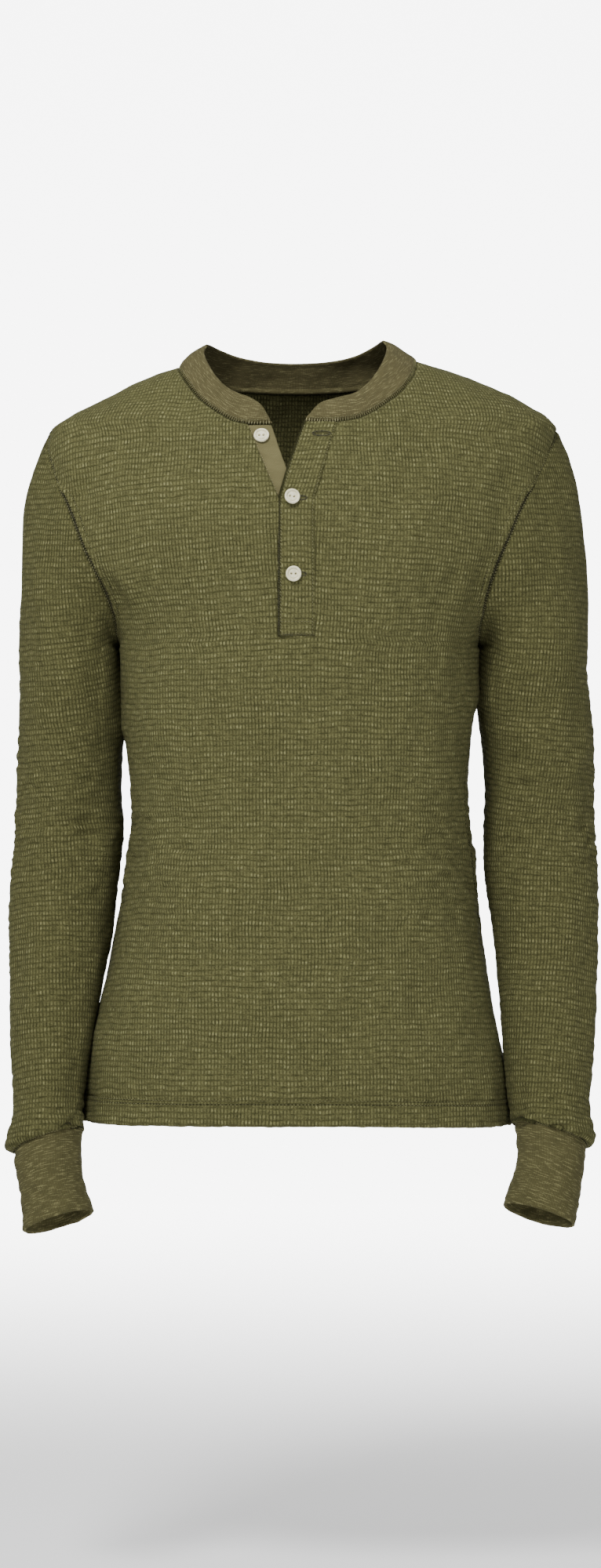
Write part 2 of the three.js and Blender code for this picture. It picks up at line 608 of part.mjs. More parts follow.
// A wall: a grid of outer points, thickened inwards. Edges that are seams step back by half the gap.
class Wall {
  constructor(name, grid, options) {
    this.name = name;
    this.grid = grid;
    this.rows = grid.length;
    this.columns = grid[0].length;
    this.closed = options.closed || false;
    this.has = options.has || (() => true);
    this.thick = options.thick;
    this.isSeam = options.isSeam || (() => true);
    this.color = options.color;
    this.share = options.share || 1;
    this.normals = this.findNormals();
  }

  cell(i, j) {
    const wide = this.closed ? this.columns : this.columns - 1;
    const jj = this.closed ? (j + this.columns) % this.columns : j;
    return i >= 0 && i < this.rows - 1 && jj >= 0 && jj < wide && this.has(i, jj);
  }

  index(i, j) {
    return i * this.columns + (this.closed ? (j + this.columns) % this.columns : j);
  }

  cells() {
    const out = [];
    for (let i = 0; i < this.rows - 1; i += 1) {
      for (let j = 0; j < this.columns; j += 1) if (this.cell(i, j)) out.push([i, j]);
    }
    return out;
  }

  findNormals() {
    const points = this.grid.flat();
    const sums = points.map(() => new THREE.Vector3());
    this.cells().forEach(([i, j]) => {
      const ids = [this.index(i, j), this.index(i, j + 1), this.index(i + 1, j + 1), this.index(i + 1, j)];
      const [a, b, c, d] = ids.map((id) => points[id]);
      const normal = c.clone().sub(a).cross(d.clone().sub(b)).normalize();
      ids.forEach((id) => sums[id].add(normal));
    });
    return sums.map((sum) => sum.normalize());
  }

  borders() {
    const out = [];
    this.cells().forEach(([i, j]) => {
      const [a, b] = [this.index(i, j), this.index(i, j + 1)];
      const [d, c] = [this.index(i + 1, j), this.index(i + 1, j + 1)];
      if (!this.cell(i - 1, j)) out.push({ from: a, to: b, seam: this.isSeam('bottom', i, j) });
      if (!this.cell(i, j + 1)) out.push({ from: b, to: c, seam: this.isSeam('right', i, j) });
      if (!this.cell(i + 1, j)) out.push({ from: c, to: d, seam: this.isSeam('top', i, j) });
      if (!this.cell(i, j - 1)) out.push({ from: d, to: a, seam: this.isSeam('left', i, j) });
    });
    return out;
  }

  // Moves seam points inwards, square to the seam in the cloth's surface.
  stepBack(points) {
    const inward = new Map();
    this.borders().filter((edge) => edge.seam).forEach(({ from, to }) => {
      const along = points[to].clone().sub(points[from]).normalize();
      [from, to].forEach((id) => {
        const across = this.normals[id].clone().cross(along).normalize();
        if (!inward.has(id)) inward.set(id, []);
        inward.get(id).push(across);
      });
    });
    inward.forEach((list, id) => {
      const sum = list.reduce((total, v) => total.clone().add(v));
      const share = list.length > 1 ? Math.max(0.35, 1 + list[0].dot(list[1])) : 1;
      points[id].addScaledVector(sum, (SEAM_GAP / 2 / share));
    });
  }

  mesh() {
    const outer = this.grid.flat().map((p) => p.clone());
    this.stepBack(outer);
    const inner = outer.map((p, id) => {
      const thick = this.thick(Math.floor(id / this.columns), id % this.columns);
      return p.clone().addScaledVector(this.normals[id], -thick);
    });
    const positions = outer.concat(inner).flatMap((p) => [p.x, p.y, p.z]);
    const n = outer.length;
    const faces = [];
    const quad = (a, b, c, d, across) => faces.push(...(across ? [a, b, c, a, c, d] : [a, b, d, b, c, d]));
    this.cells().forEach(([i, j]) => {
      const [a, b] = [this.index(i, j), this.index(i, j + 1)];
      const [d, c] = [this.index(i + 1, j), this.index(i + 1, j + 1)];
      const short = outer[a].distanceTo(outer[c]) <= outer[b].distanceTo(outer[d]);
      quad(a, b, c, d, short);
      quad(d + n, c + n, b + n, a + n, !short);
    });
    this.borders().forEach(({ from, to }) => {
      const short = outer[to].distanceTo(inner[from]) <= outer[from].distanceTo(inner[to]);
      quad(to, from, from + n, to + n, short);
    });
    const geometry = new THREE.BufferGeometry();
    geometry.setAttribute('position', new THREE.Float32BufferAttribute(positions, 3));
    geometry.setIndex(faces);
    return named(this.name, geometry, this.color);
  }
}

function named(name, geometry, color, roughness = 0.9) {
  geometry.computeVertexNormals();
  const material = new THREE.MeshStandardMaterial({ color, roughness, metalness: 0 });
  const mesh = new THREE.Mesh(geometry, material);
  mesh.name = name;
  return mesh;
}

// Points that two or more walls share get one common normal, so that their rims are parallel.
function shareNormals(walls) {
  const shared = new Map();
  const key = (p) => [p.x, p.y, p.z].map((v) => Math.round(v * 100)).join(' ');
  walls.forEach((wall) => wall.grid.flat().forEach((p, id) => {
    const k = key(p);
    if (!shared.has(k)) shared.set(k, []);
    shared.get(k).push({ normal: wall.normals[id], share: wall.share });
  }));
  shared.forEach((list) => {
    const sum = new THREE.Vector3();
    list.forEach(({ normal, share }) => sum.addScaledVector(normal, share));
    sum.normalize();
    list.forEach(({ normal }) => normal.copy(sum));
  });
}

const slotFirst = NECK_STEPS + SHOULDER_STEPS;
const slotRow = BODY_ROWS.length;
const inSlot = (i, j) => i >= slotRow && j >= slotFirst && j < slotFirst + SLOT_STEPS;
const hemThick = (i) => (i <= 2 ? HEM_WALL : WALL);
const notHem = (edge) => edge !== 'bottom';
const slotEdge = (edge, i, j) => {
  const beside = (edge === 'right' && j === slotFirst - 1) || (edge === 'left' && j === slotFirst + SLOT_STEPS);
  const under = edge === 'top' && i === slotRow - 1;
  return !(edge === 'bottom' || (beside && i >= slotRow) || under);
};
const UPPER_ROWS = [-233.6, -222, -205, -188, -171, -154, -138, -122, -110, -98, -85, -72, -57];
const LOWER_ROWS = [-238, -222, -205, -188, -171, -154, -138, -122, -110, -98, -85, -72, -58.2];
const UPPER_RAISE = 1.0;
const UPPER_THICK = 2.9;
const LOWER_RAISE = -2.35;
const LOWER_THICK = 1.6;

const walls = [
  new Wall('front', frontPanel(), {
    thick: hemThick,
    has: (i, j) => !inSlot(i, j),
    isSeam: slotEdge,
    share: 0.5,
    color: OLIVE,
  }),
  new Wall('back', backPanel(), { thick: hemThick, isSeam: notHem, share: 0.5, color: OLIVE }),
  new Wall('sleeve_right', sleeve('right'), { thick: () => WALL, closed: true, color: OLIVE }),
  new Wall('sleeve_left', sleeve('left'), { thick: () => WALL, closed: true, color: OLIVE }),
  new Wall('cuff_right', cuff('right'), {
    thick: () => CUFF_WALL,
    closed: true,
    isSeam: notHem,
    color: OLIVE_SMOOTH,
  }),
  new Wall('cuff_left', cuff('left'), {
    thick: () => CUFF_WALL,
    closed: true,
    isSeam: notHem,
    color: OLIVE_SMOOTH,
  }),
  new Wall('neckband', neckband(), {
    thick: () => BAND_WALL,
    isSeam: (edge) => edge === 'bottom',
    color: OLIVE_SMOOTH,
  }),
];
shareNormals(walls);

const strips = [
  new Wall('placket_upper', strip('upper', 'slotLeft', [0.1, 0.9], UPPER_ROWS, UPPER_RAISE), {
    thick: () => UPPER_THICK,
    isSeam: () => false,
    color: OLIVE,
  }),
  new Wall('placket_lower', strip('slotRight', 'lower', [-1.6, 0], LOWER_ROWS, LOWER_RAISE), {
    thick: () => LOWER_THICK,
    isSeam: () => false,
    color: OLIVE_FACING,
  }),
];

// A two-hole button with a raised rim, as a plate in the XY plane.
function buttonShape() {
  const r = BUTTON_DIAMETER / 2;
  const profile = [
    [0, 0], [r * 0.86, 0], [r, 0.7], [r, 1.9], [r * 0.94, 2.5], [r * 0.84, 2.6], [r * 0.7, 2.0], [0, 1.8],
  ];
  return profile.map(([x, y]) => new THREE.Vector2(x, y));
}

const BUTTONS = [
  { name: 'button_top', x: -30, z: -68, raise: LOWER_RAISE + 0.3, turn: 0 },
  { name: 'button_middle', x: -5, z: -121, raise: UPPER_RAISE + 0.3, turn: 14 },
  { name: 'button_bottom', x: -3.6, z: -183.5, raise: UPPER_RAISE + 0.3, turn: 0 },
];

function button({ name, x, z, raise, turn }) {
  const on = (dx, dz) => {
    const side = x + dx < 0 ? 'right' : 'left';
    return worn(torso(side, z + dz, angleAt(side, -1, x + dx, z + dz)));
  };
  const across = on(6, 0).sub(on(-6, 0)).normalize();
  const up = on(0, 6).sub(on(0, -6)).normalize();
  const normal = across.clone().cross(up).normalize();
  const geometry = new THREE.LatheGeometry(buttonShape(), 20);
  geometry.rotateX(Math.PI / 2);
  const square = new THREE.Matrix4().makeBasis(across, normal.clone().cross(across), normal);
  const turned = new THREE.Matrix4().makeRotationY((turn * Math.PI) / 180);
  geometry.applyMatrix4(square.multiply(turned));
  const lift = raise + (turn ? (BUTTON_DIAMETER / 2) * Math.sin((turn * Math.PI) / 180) : 0);
  const centre = on(0, 0).addScaledVector(normal, lift);
  geometry.translate(centre.x, centre.y, centre.z);
  return named(name, geometry, SHELL_WHITE, 0.35);
}

const group = new THREE.Group();
group.name = 'henley_shirt';
walls.concat(strips).forEach((wall) => group.add(wall.mesh()));
BUTTONS.forEach((row) => group.add(button(row)));

export default group;
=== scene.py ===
import math

import bpy
import numpy as np
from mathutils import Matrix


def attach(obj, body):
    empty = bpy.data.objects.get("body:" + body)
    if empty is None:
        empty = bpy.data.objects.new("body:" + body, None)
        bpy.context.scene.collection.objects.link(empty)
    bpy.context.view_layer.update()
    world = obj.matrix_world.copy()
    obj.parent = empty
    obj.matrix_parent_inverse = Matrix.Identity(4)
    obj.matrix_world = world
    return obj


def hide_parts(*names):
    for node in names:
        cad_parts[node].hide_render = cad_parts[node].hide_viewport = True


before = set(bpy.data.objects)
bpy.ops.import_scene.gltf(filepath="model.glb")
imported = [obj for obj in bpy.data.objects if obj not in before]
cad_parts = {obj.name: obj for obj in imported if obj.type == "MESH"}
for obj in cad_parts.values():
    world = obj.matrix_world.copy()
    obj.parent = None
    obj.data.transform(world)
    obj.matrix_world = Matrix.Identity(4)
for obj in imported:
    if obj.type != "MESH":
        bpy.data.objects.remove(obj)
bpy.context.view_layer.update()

MM = 0.001
K = 7  # steps of the fine grids for each step of the solids' grids
RINGS = 9  # the same for the rings of the sleeves
HALF_STEPS, NECK_STEPS, SHOULDER_STEPS, BACK_NECK_STEPS = 12, 6, 5, 5
SLOT_STEPS, SLOT_BOTTOM, YOKE_STEPS = 2, -234.0, 4
HEM_STITCH, HEM_EDGE = -613.0, -633.0
HEM_LINES = (17.2, 20.6)  # the hem's two rows of stitches, from its edge
TOPSTITCH = 8.4  # the row of stitches beside each armhole, from its edge
ARMHOLE_FOOT = -244.0  # just below the armholes
BUTTON_DIAMETER, HOLE_APART = 12.7, 1.75
REACH = 30.0  # how far the marks of seams and stitches reach
RIGHT, LEFT = -1, 1
FRONT, BACK = -1, 1


def table(names, *rows):
    return dict(zip(names.split(), np.array(rows, float).T))


TORSO = table(
    "z right left front back power swing",
    (5, 80, 91, 41, 43, 2.2, 0),
    (2.3, 87, 98.4, 43, 45, 2.2, 0),
    (-2.4, 99.3, 112, 46, 48, 2.2, 0),
    (-8, 118.5, 128, 50, 52, 2.2, 0),
    (-19, 142.5, 157, 59, 62, 2.2, 0),
    (-32, 167.5, 186.5, 68, 72, 2.2, 0),
    (-43, 189, 206, 76, 81, 2.2, 0),
    (-56, 207.2, 216.5, 86, 90, 2.2, 0),
    (-78, 210, 214, 98, 100, 2.2, 0),
    (-100, 210, 210, 107, 107, 2.25, 0),
    (-122, 207, 206, 113, 112, 2.3, 0),
    (-150, 199, 195, 118.5, 115, 2.3, 0),
    (-190, 176, 172, 121.5, 117, 2.3, 0),
    (-240, 149, 150.2, 121, 116, 2.3, 0),
    (-250, 147.2, 148.6, 120.5, 115, 2.35, 0),
    (-285, 146.5, 148, 119, 112, 2.4, 2),
    (-315, 145.3, 144.8, 118, 109, 2.4, 7),
    (-350, 141.2, 143.2, 117, 106, 2.4, 14),
    (-386, 140.3, 145, 117, 105, 2.4, 16),
    (-421, 144.7, 148.2, 118, 107, 2.4, 13),
    (-460, 150, 151.5, 119, 111, 2.4, 4),
    (-506, 158.5, 158, 120, 116, 2.4, 0),
    (-555, 170, 167, 121, 120, 2.4, 0),
    (-593, 177, 173.8, 121.5, 121, 2.4, 0),
    (-626, 180, 178, 122, 122, 2.4, 0),
    (-640, 181, 178.8, 122, 122, 2.4, 0),
)
ARMHOLE = table(
    "z front back right left wide",
    (-56, 0, 0, 207.2, 216.5, 0),
    (-66, 15, 16, 208.3, 213, 1),
    (-80, 29, 31, 206.5, 206.2, 2),
    (-105, 48, 50, 198, 194.5, 4),
    (-129, 60, 61, 188.2, 183.2, 6),
    (-150, 67, 67, 180, 174.6, 7),
    (-172, 69, 69, 169.6, 165.2, 7),
    (-188, 65, 66, 162.5, 159, 6),
    (-203, 56, 58, 156.6, 154.5, 4),
    (-216, 43, 45, 152.4, 152, 2),
    (-230, 23, 24, 149.8, 150.8, 1),
    (-240, 0, 0, 149, 150.2, 0),
)
NECK_RIGHT = table(
    "x z top_x top_y top_z",
    (-22, -57.3, -23.3, -84, -54.3),
    (-31.5, -57.5, -29.5, -79.5, -43.2),
    (-41.6, -57.3, -38.6, -74.5, -36),
    (-53.4, -54.2, -48.3, -70.5, -32),
    (-66.5, -46.7, -58.8, -64, -26.2),
    (-80.6, -35.4, -68.3, -53.5, -16),
    (-91.6, -20.8, -75.5, -37, -3.5),
    (-97.6, -10, -79.3, -18.5, 7.5),
    (-99.3, -2.4, -76.9, 0, 16.2),
)
NECK_LEFT = table(
    "x z top_x top_y top_z",
    (5.9, -55.7, 7, -84, -53),
    (19.5, -56.3, 17.5, -79, -41),
    (33.5, -56, 31.5, -74.5, -35.8),
    (52, -51.8, 47, -68.5, -31),
    (68.6, -42, 58.5, -60, -21.5),
    (83.8, -29.5, 68, -48, -8),
    (93, -17, 73.5, -31, 5),
    (97.4, -6.5, 74.8, -15, 13),
    (98.4, 2.3, 71.5, 0, 19.5),
)
NECK_BACK = table(
    "x z top_x top_y top_z",
    (-99.3, -2.4, -76.9, 0, 16.2),
    (-96.5, -6, -74, 17.5, 17),
    (-87, -11.5, -65, 32, 14),
    (-67, -16, -50, 43, 9.5),
    (-37, -18.8, -28, 49.5, 6),
    (0, -19.6, 0, 52, 5),
    (37, -18.6, 27, 49.5, 6.5),
    (67, -15, 48, 43, 10.5),
    (87, -9, 62, 32, 16),
    (96, -2, 70, 17.5, 20),
    (98.4, 2.3, 71.5, 0, 19.5),
)
PLACKET = table(
    "z slot_right upper lower slot_left",
    (-50, -44.5, 8.5, -25, 35.3),
    (-57.3, -41.6, 5.2, -22.6, 33.1),
    (-90, -28.6, -6.4, -11.8, 23.5),
    (-109, -21, -12.2, -4, 17.9),
    (-122, -15.9, -15.3, 1.5, 14.1),
    (-150, -15.9, -15.5, 4, 14.1),
    (-240, -15.9, -15.5, 4, 14.1),
)
SLEEVE = {
    RIGHT: table(
        "z outer inner fore aft",
        (-262, 234.6, 149.6, -52, 68),
        (-315, 236.3, 147.6, -43, 62),
        (-359, 237.6, 149, -37, 57),
        (-394, 239.4, 147.6, -36, 52),
        (-430, 241.2, 150.9, -40, 44),
        (-486, 242.8, 157.4, -50, 33),
        (-526, 242, 165, -58, 23),
        (-555, 240.5, 170.6, -63, 15),
        (-580, 239.3, 174.8, -68, 7),
        (-602, 238.2, 176.8, -73, 0),
        (-622, 237.5, 178.2, -79, -5),
        (-638, 239.4, 178.2, -84, -9),
        (-650, 242.9, 178.6, -86, -11),
        (-660, 241.5, 179, -87, -14),
    ),
    LEFT: table(
        "z outer inner fore aft",
        (-262, 244.6, 152.4, -52, 68),
        (-294, 247, 152.2, -46, 64),
        (-320, 248.4, 155, -42, 61),
        (-359, 250, 157.4, -37, 57),
        (-394, 250.7, 155.9, -36, 52),
        (-430, 251.8, 157.4, -40, 44),
        (-486, 252.4, 165, -50, 33),
        (-526, 250.3, 167.2, -58, 23),
        (-555, 247.8, 170, -63, 15),
        (-580, 245.7, 172.2, -68, 7),
        (-602, 244.2, 174, -73, 0),
        (-622, 242.8, 175.8, -78, -5),
        (-634, 244.2, 177.2, -82, -8),
        (-645, 246.8, 179.6, -85, -10),
        (-656, 245, 180.6, -86, -13),
    ),
}
CUFF = {
    RIGHT: table(
        "z outer inner fore aft",
        (-636, 233.5, 178.2, -79, -19),
        (-665, 234, 179.8, -86, -27),
        (-682, 231, 178.4, -91, -33),
        (-703, 228, 170.4, -98, -39),
        (-724, 226.6, 164.5, -105, -45),
    ),
    LEFT: table(
        "z outer inner fore aft",
        (-630, 238.5, 178.5, -78, -18),
        (-655, 238.2, 180.6, -84, -25),
        (-672, 235.2, 180.3, -89, -31),
        (-693, 231, 173.4, -96, -37),
        (-718, 227.4, 164.5, -104, -44),
    ),
}
SLEEVE_RINGS = table(
    "above drop rise",
    (387, 0, 0), (362, 0, 0), (336, 0, 0), (311, 0, 0), (287, 0, 0), (263, 0, 0),
    (237, 0, 1), (209, 0, 2), (179, 1, 3), (149, 2, 4), (119, 3, 5), (89, 4, 6),
    (59, 5, 7), (34, 7, 8), (17, 9, 9), (8, 10, 9), (3, 10, 9),
)
CUFF_RINGS = table("above drop rise", (0, 9, 9), (-22, 9, 9), (-44, 8.5, 8.5), (-65, 8.5, 8))
CUFF_SEAM = {RIGHT: -649.0, LEFT: -644.0}
FAN = [0, 0.1, 0.25, 0.43, 0.62, 0.81, 1]
FAN_START, FAN_END = 0.68, 0.85
BODY_ROWS = [
    HEM_EDGE, -623, HEM_STITCH - 1, HEM_STITCH + 1, -590, -564, -536, -508, -480,
    -453, -427, -402, -378, -354, -330, -306, -283, -262, -249,
]
BODY_Z = np.r_[np.arange(HEM_EDGE, -606, 0.9), np.linspace(-606, BODY_ROWS[-1], 124)]
SLOT_ROW = len(BODY_Z) - 1 + K  # the first row of the front's slot
HEM_SHAPE = {"front": 1.5, "right": -1, "left": -4.5, "back": -8}
HEM_FADES = 75.0
CHEST_HOLLOW = 38.0
FOLDS = table(
    "x1 y1 z1 x2 y2 z2 width depth px py",
    (172, -66, -108, 143, -62, -205, 11, 4, -0.2, 1),
    (-176, -64, -112, -144, -60, -208, 11, 4, 0.2, 1),
    (170, 75, -120, 138, 82, -215, 12, 4, -0.2, -1),
    (-172, 75, -125, -136, 84, -220, 12, 4, 0.2, -1),
    (138, -45, -428, 90, -98, -402, 13, 3, -0.5, 0.8),
    (-134, -50, -404, -84, -100, -386, 13, 3, 0.5, 0.8),
    (-46, 104, -330, -70, 104, -500, 16, 5, 0.2, -1),
    (30, 106, -350, 58, 112, -520, 17, 5, 0, -1),
    (-92, 92, -392, 88, 92, -410, 15, 3.5, 0, -1),
    (238, -10, -352, 176, -34, -396, 12, 3.5, -0.3, 1),
    (172, -34, -338, 228, -22, -306, 12, 2.5, 0, 1),
    (-228, -14, -366, -168, -34, -402, 12, 3.5, 0.3, 1),
    (-164, -36, -330, -220, -26, -300, 12, 2.5, 0, 1),
    (232, 34, -372, 176, 44, -352, 13, 4, 0, -1),
    (-226, 34, -380, -166, 44, -362, 13, 4, 0, -1),
    (226, 60, -118, 172, 74, -214, 12, 3, 0, -1),
    (-222, 60, -122, -172, 74, -218, 12, 3, 0, -1),
)


def mix(a, b, t):
    return a + (b - a) * t


def smooth(t):
    u = np.clip(t, 0, 1)
    return u * u * (3 - 2 * u)


def read(tab, column, z):
    z, zs, v = np.asarray(z, float), tab["z"], tab[column]
    n = len(zs)
    k = np.clip(np.searchsorted(-zs, -z, side="left"), 1, n - 1)
    low, high = np.maximum(np.arange(n) - 1, 0), np.minimum(np.arange(n) + 1, n - 1)
    slope = (v[high] - v[low]) / (zs[high] - zs[low])
    h = zs[k] - zs[k - 1]
    t = np.clip((z - zs[k - 1]) / h, 0, 1)
    s = 1 - t
    ends = v[k - 1] * s * s * (1 + 2 * t) + v[k] * t * t * (3 - 2 * t)
    return ends + slope[k - 1] * h * t * s * s - slope[k] * h * t * t * s


def unit(v):
    return v / np.maximum(np.linalg.norm(v, axis=-1, keepdims=True), 1e-12)


def columns(tab, names):
    return np.stack([tab[name] for name in names.split()], 1)


def run_of(line):
    """The distance along a line at each of its points."""
    return np.r_[0, np.cumsum(np.linalg.norm(np.diff(line, axis=0), axis=1))]


def gaps(p, axis):
    """The distances between neighbouring points of a grid along an axis."""
    return np.linalg.norm(np.diff(p, axis=axis), axis=2)


def even(points, steps):
    """Points along a line in even steps."""
    run = run_of(points)
    at = np.linspace(0, run[-1], steps + 1)
    return np.stack([np.interp(at, run, points[:, a]) for a in range(points.shape[1])], 1)


def through(rows, steps):
    """A smooth line through rows of numbers, with that many steps between two rows."""
    rows = np.asarray(rows, float)
    ext = np.vstack([2 * rows[0] - rows[1], rows, 2 * rows[-1] - rows[-2]])
    out = []
    for i in range(len(rows) - 1):
        a, b, c, d = ext[i : i + 4]
        for t in np.arange(steps) / steps:
            m, n = (c - a) / 2, (d - b) / 2
            out.append(
                b * (1 + 2 * t) * (1 - t) ** 2 + c * t * t * (3 - 2 * t)
                + m * t * (1 - t) ** 2 - n * t * t * (1 - t)
            )
    return np.array(out + [rows[-1]])


def spaced(values, steps):
    return np.interp(np.arange((len(values) - 1) * steps + 1) / steps, np.arange(len(values)), values)


def side_name(side):
    return "left" if side > 0 else "right"


def armhole_line(side, face):
    wide = ARMHOLE["wide"] if face > 0 else 0
    depth = ARMHOLE["back"] if face > 0 else ARMHOLE["front"]
    return through(np.stack([side * (ARMHOLE[side_name(side)] + wide), face * depth, ARMHOLE["z"]], 1), 20)


ARM = {(s, f): armhole_line(s, f) for s in (RIGHT, LEFT) for f in (FRONT, BACK)}
TIP_Z, PIT_Z = ARMHOLE["z"][0], ARMHOLE["z"][-1]


def on_armhole(side, face, z):
    line = ARM[side, face]
    return [np.interp(-np.asarray(z, float), -line[:, 2], line[:, a]) for a in (0, 1)]


def section(side, face, z):
    z = np.asarray(z, float)
    power = read(TORSO, "power", z)
    depth = read(TORSO, "back" if face > 0 else "front", z)
    half = read(TORSO, side_name(side), z)
    x, y = on_armhole(side, face, z)
    by_arm = np.abs(x) / (1 - (np.abs(y) / depth) ** power) ** (1 / power)
    return np.where((z < TIP_Z) & (z > PIT_Z), by_arm, half), depth, power


def torso_face(side, face, z, angle):
    half, depth, power = section(side, face, z)
    x = half * np.maximum(0, np.cos(angle)) ** (2 / power)
    y = face * depth * np.abs(np.sin(angle)) ** (2 / power)
    end = np.abs(on_armhole(side, face, z)[0])
    s = np.clip((x - 0.42 * end) / (0.58 * end), 0, 1)
    weight = np.sin(np.pi * np.clip((TIP_Z - z) / (TIP_Z - PIT_Z), 0, 1))
    y = y - face * CHEST_HOLLOW * weight * s * s * (1 - s)
    return np.stack(np.broadcast_arrays(side * x, y, z), -1)


def torso(side, z, angle):
    z, angle = np.broadcast_arrays(np.asarray(z, float), np.asarray(angle, float))
    back, front = torso_face(side, BACK, z, angle), torso_face(side, FRONT, z, angle)
    return np.where((angle > 0)[..., None], back, front)


def angle_at(side, face, x, z):
    half, _, power = section(side, face, z)
    return face * np.arccos(np.clip(np.abs(x) / half, 0, 1) ** (power / 2))


def end_angle(side, face, z):
    z = np.asarray(z, float)
    swing = -np.radians(read(TORSO, "swing", z)) if side > 0 else np.zeros_like(z)
    on_arm = angle_at(side, face, on_armhole(side, face, z)[0], z)
    return np.where(z <= PIT_Z, swing, np.where(z >= TIP_Z, 0, on_arm))


def row_angles(side, face, z, inner_x, share):
    """The angle at that share of each row's length, from the side's end to inner_x."""
    start, end = end_angle(side, face, z), angle_at(side, face, inner_x, z)
    t = np.linspace(0, 1, 61)
    angles = start[:, None] + (end - start)[:, None] * t
    dense = torso(side, z[:, None] + 0 * angles, angles)
    run = np.cumsum(gaps(dense, 1), axis=1)
    run = np.concatenate([np.zeros((len(z), 1)), run], 1)
    at = run[:, -1] * share
    k = np.clip((run < at[:, None]).sum(1), 1, 60)
    rows = np.arange(len(z))
    f = (at - run[rows, k - 1]) / np.maximum(run[rows, k] - run[rows, k - 1], 1e-9)
    return mix(start, end, (k - 1 + f) / 60)


def folded(p):
    out = p.copy()
    for row in zip(*FOLDS.values()):
        x1, y1, z1, x2, y2, z2, width, depth, px, py = row
        a, ab = np.array([x1, y1, z1]), np.array([x2 - x1, y2 - y1, z2 - z1])
        t = np.clip(((p - a) @ ab) / (ab @ ab), 0, 1)
        off = np.linalg.norm(p - a - t[..., None] * ab, axis=-1) / width
        out += unit(np.array([px, py, 0.0])) * (depth * np.exp(-off * off))[..., None]
    return out


def worn(p):
    weight = smooth((HEM_EDGE + HEM_FADES - p[..., 2]) / HEM_FADES)
    across = np.clip(np.abs(p[..., 0]) / 180, 0, 1) ** 2
    middle = np.where(p[..., 1] > 0, HEM_SHAPE["back"], HEM_SHAPE["front"])
    side = np.where(p[..., 0] > 0, HEM_SHAPE["left"], HEM_SHAPE["right"])
    q = p.copy()
    q[..., 2] += weight * mix(middle, side, across)
    return folded(q)


def neck_rows(tab, first=0):
    return through(columns(tab, "x z top_x top_y top_z"), K)[first * K :]


def on_front(x, z, face=FRONT):
    x, z = np.broadcast_arrays(np.asarray(x, float), np.asarray(z, float))
    right = torso(RIGHT, z, angle_at(RIGHT, face, x, z))
    left = torso(LEFT, z, angle_at(LEFT, face, x, z))
    return np.where((x < 0)[..., None], right, left)


def warped(steps):
    """Columns of a half panel, closer together beside its side seam and armhole."""
    u = np.arange(steps + 1) / steps
    near = np.clip(u * steps / (3 * K), 0, 1)
    return np.where(near < 1, (0.35 * near + 0.65 * near * near) * 3 * K / steps, u)


def top_line(side, face):
    top = (NECK_RIGHT if side < 0 else NECK_LEFT)["z"][-1]
    steps = (SHOULDER_STEPS + NECK_STEPS if face < 0 else SHOULDER_STEPS + BACK_NECK_STEPS) * K
    z = mix(TIP_Z, top, warped(steps)[: SHOULDER_STEPS * K] * steps / (SHOULDER_STEPS * K))
    shoulder = torso(side, z, 0 * z)
    if face < 0:
        rows = neck_rows(NECK_RIGHT if side < 0 else NECK_LEFT, 2)[::-1]
    else:
        rows = neck_rows(NECK_BACK)
        half = BACK_NECK_STEPS * K
        rows = rows[: half + 1] if side < 0 else rows[half:][::-1]
    neck = torso(side, rows[:, 1], angle_at(side, face, rows[:, 0], rows[:, 1]))
    return np.vstack([shoulder, neck])


def half_panel(side, face, inner_at, low_mid, high_mid):
    top = top_line(side, face)
    steps = len(top) - 1
    share = warped(steps)
    rows = []

    def level(z):
        angle = row_angles(side, face, z, inner_at(z), share)
        return angle, torso(side, z, angle)

    arm = even(ARM[side, face], HALF_STEPS * K)[::-1]
    pit = mix(arm[0, 2], low_mid, smooth(share))
    for z in BODY_Z:
        rows.append(level(np.full(steps + 1, z))[1])
    for t in np.arange(1, K) / K:
        rows.append(level(mix(np.full(steps + 1, BODY_ROWS[-1]), pit, t))[1])
    base = (HALF_STEPS - YOKE_STEPS) * K
    for i in range(base + 1):
        z = mix(arm[i, 2], mix(low_mid, high_mid, i / base), smooth(share))
        angle, p = level(z)
        p[0] = arm[i]
        rows.append(p)
    top_angle = angle_at(side, face, top[:, 0], top[:, 2])
    for i in range(1, YOKE_STEPS * K + 1):
        end = arm[base + i]
        at_arm = (end[2] - z[0]) / (TIP_Z - z[0])
        t = mix(at_arm, i / (YOKE_STEPS * K), smooth(share * steps / (3 * K)))
        p = torso(side, mix(z, top[:, 2], t), mix(angle, top_angle, t))
        if i == YOKE_STEPS * K:
            p = top.copy()
        p[0] = end
        rows.append(p)
    return np.array(rows)


def front_panel():
    right = half_panel(RIGHT, FRONT, lambda z: read(PLACKET, "slot_right", z), SLOT_BOTTOM, -109)
    left = half_panel(LEFT, FRONT, lambda z: read(PLACKET, "slot_left", z), SLOT_BOTTOM, -109)
    a, b = right[:, -1], left[:, -1]
    middle = []
    for t in np.arange(1, SLOT_STEPS * K) / (SLOT_STEPS * K):
        middle.append(on_front(mix(a[:, 0], b[:, 0], t), mix(a[:, 2], b[:, 2], t)))
    return worn(np.concatenate([right, np.stack(middle, 1), left[:, ::-1]], 1))


def back_panel():
    left = half_panel(LEFT, BACK, lambda z: 0 * z, PIT_Z, -88)
    right = half_panel(RIGHT, BACK, lambda z: 0 * z, PIT_Z, -88)
    middle = (left[:, -1:] + right[:, -1:]) / 2
    return worn(np.concatenate([left[:, :-1], middle, right[:, :-1][:, ::-1]], 1))


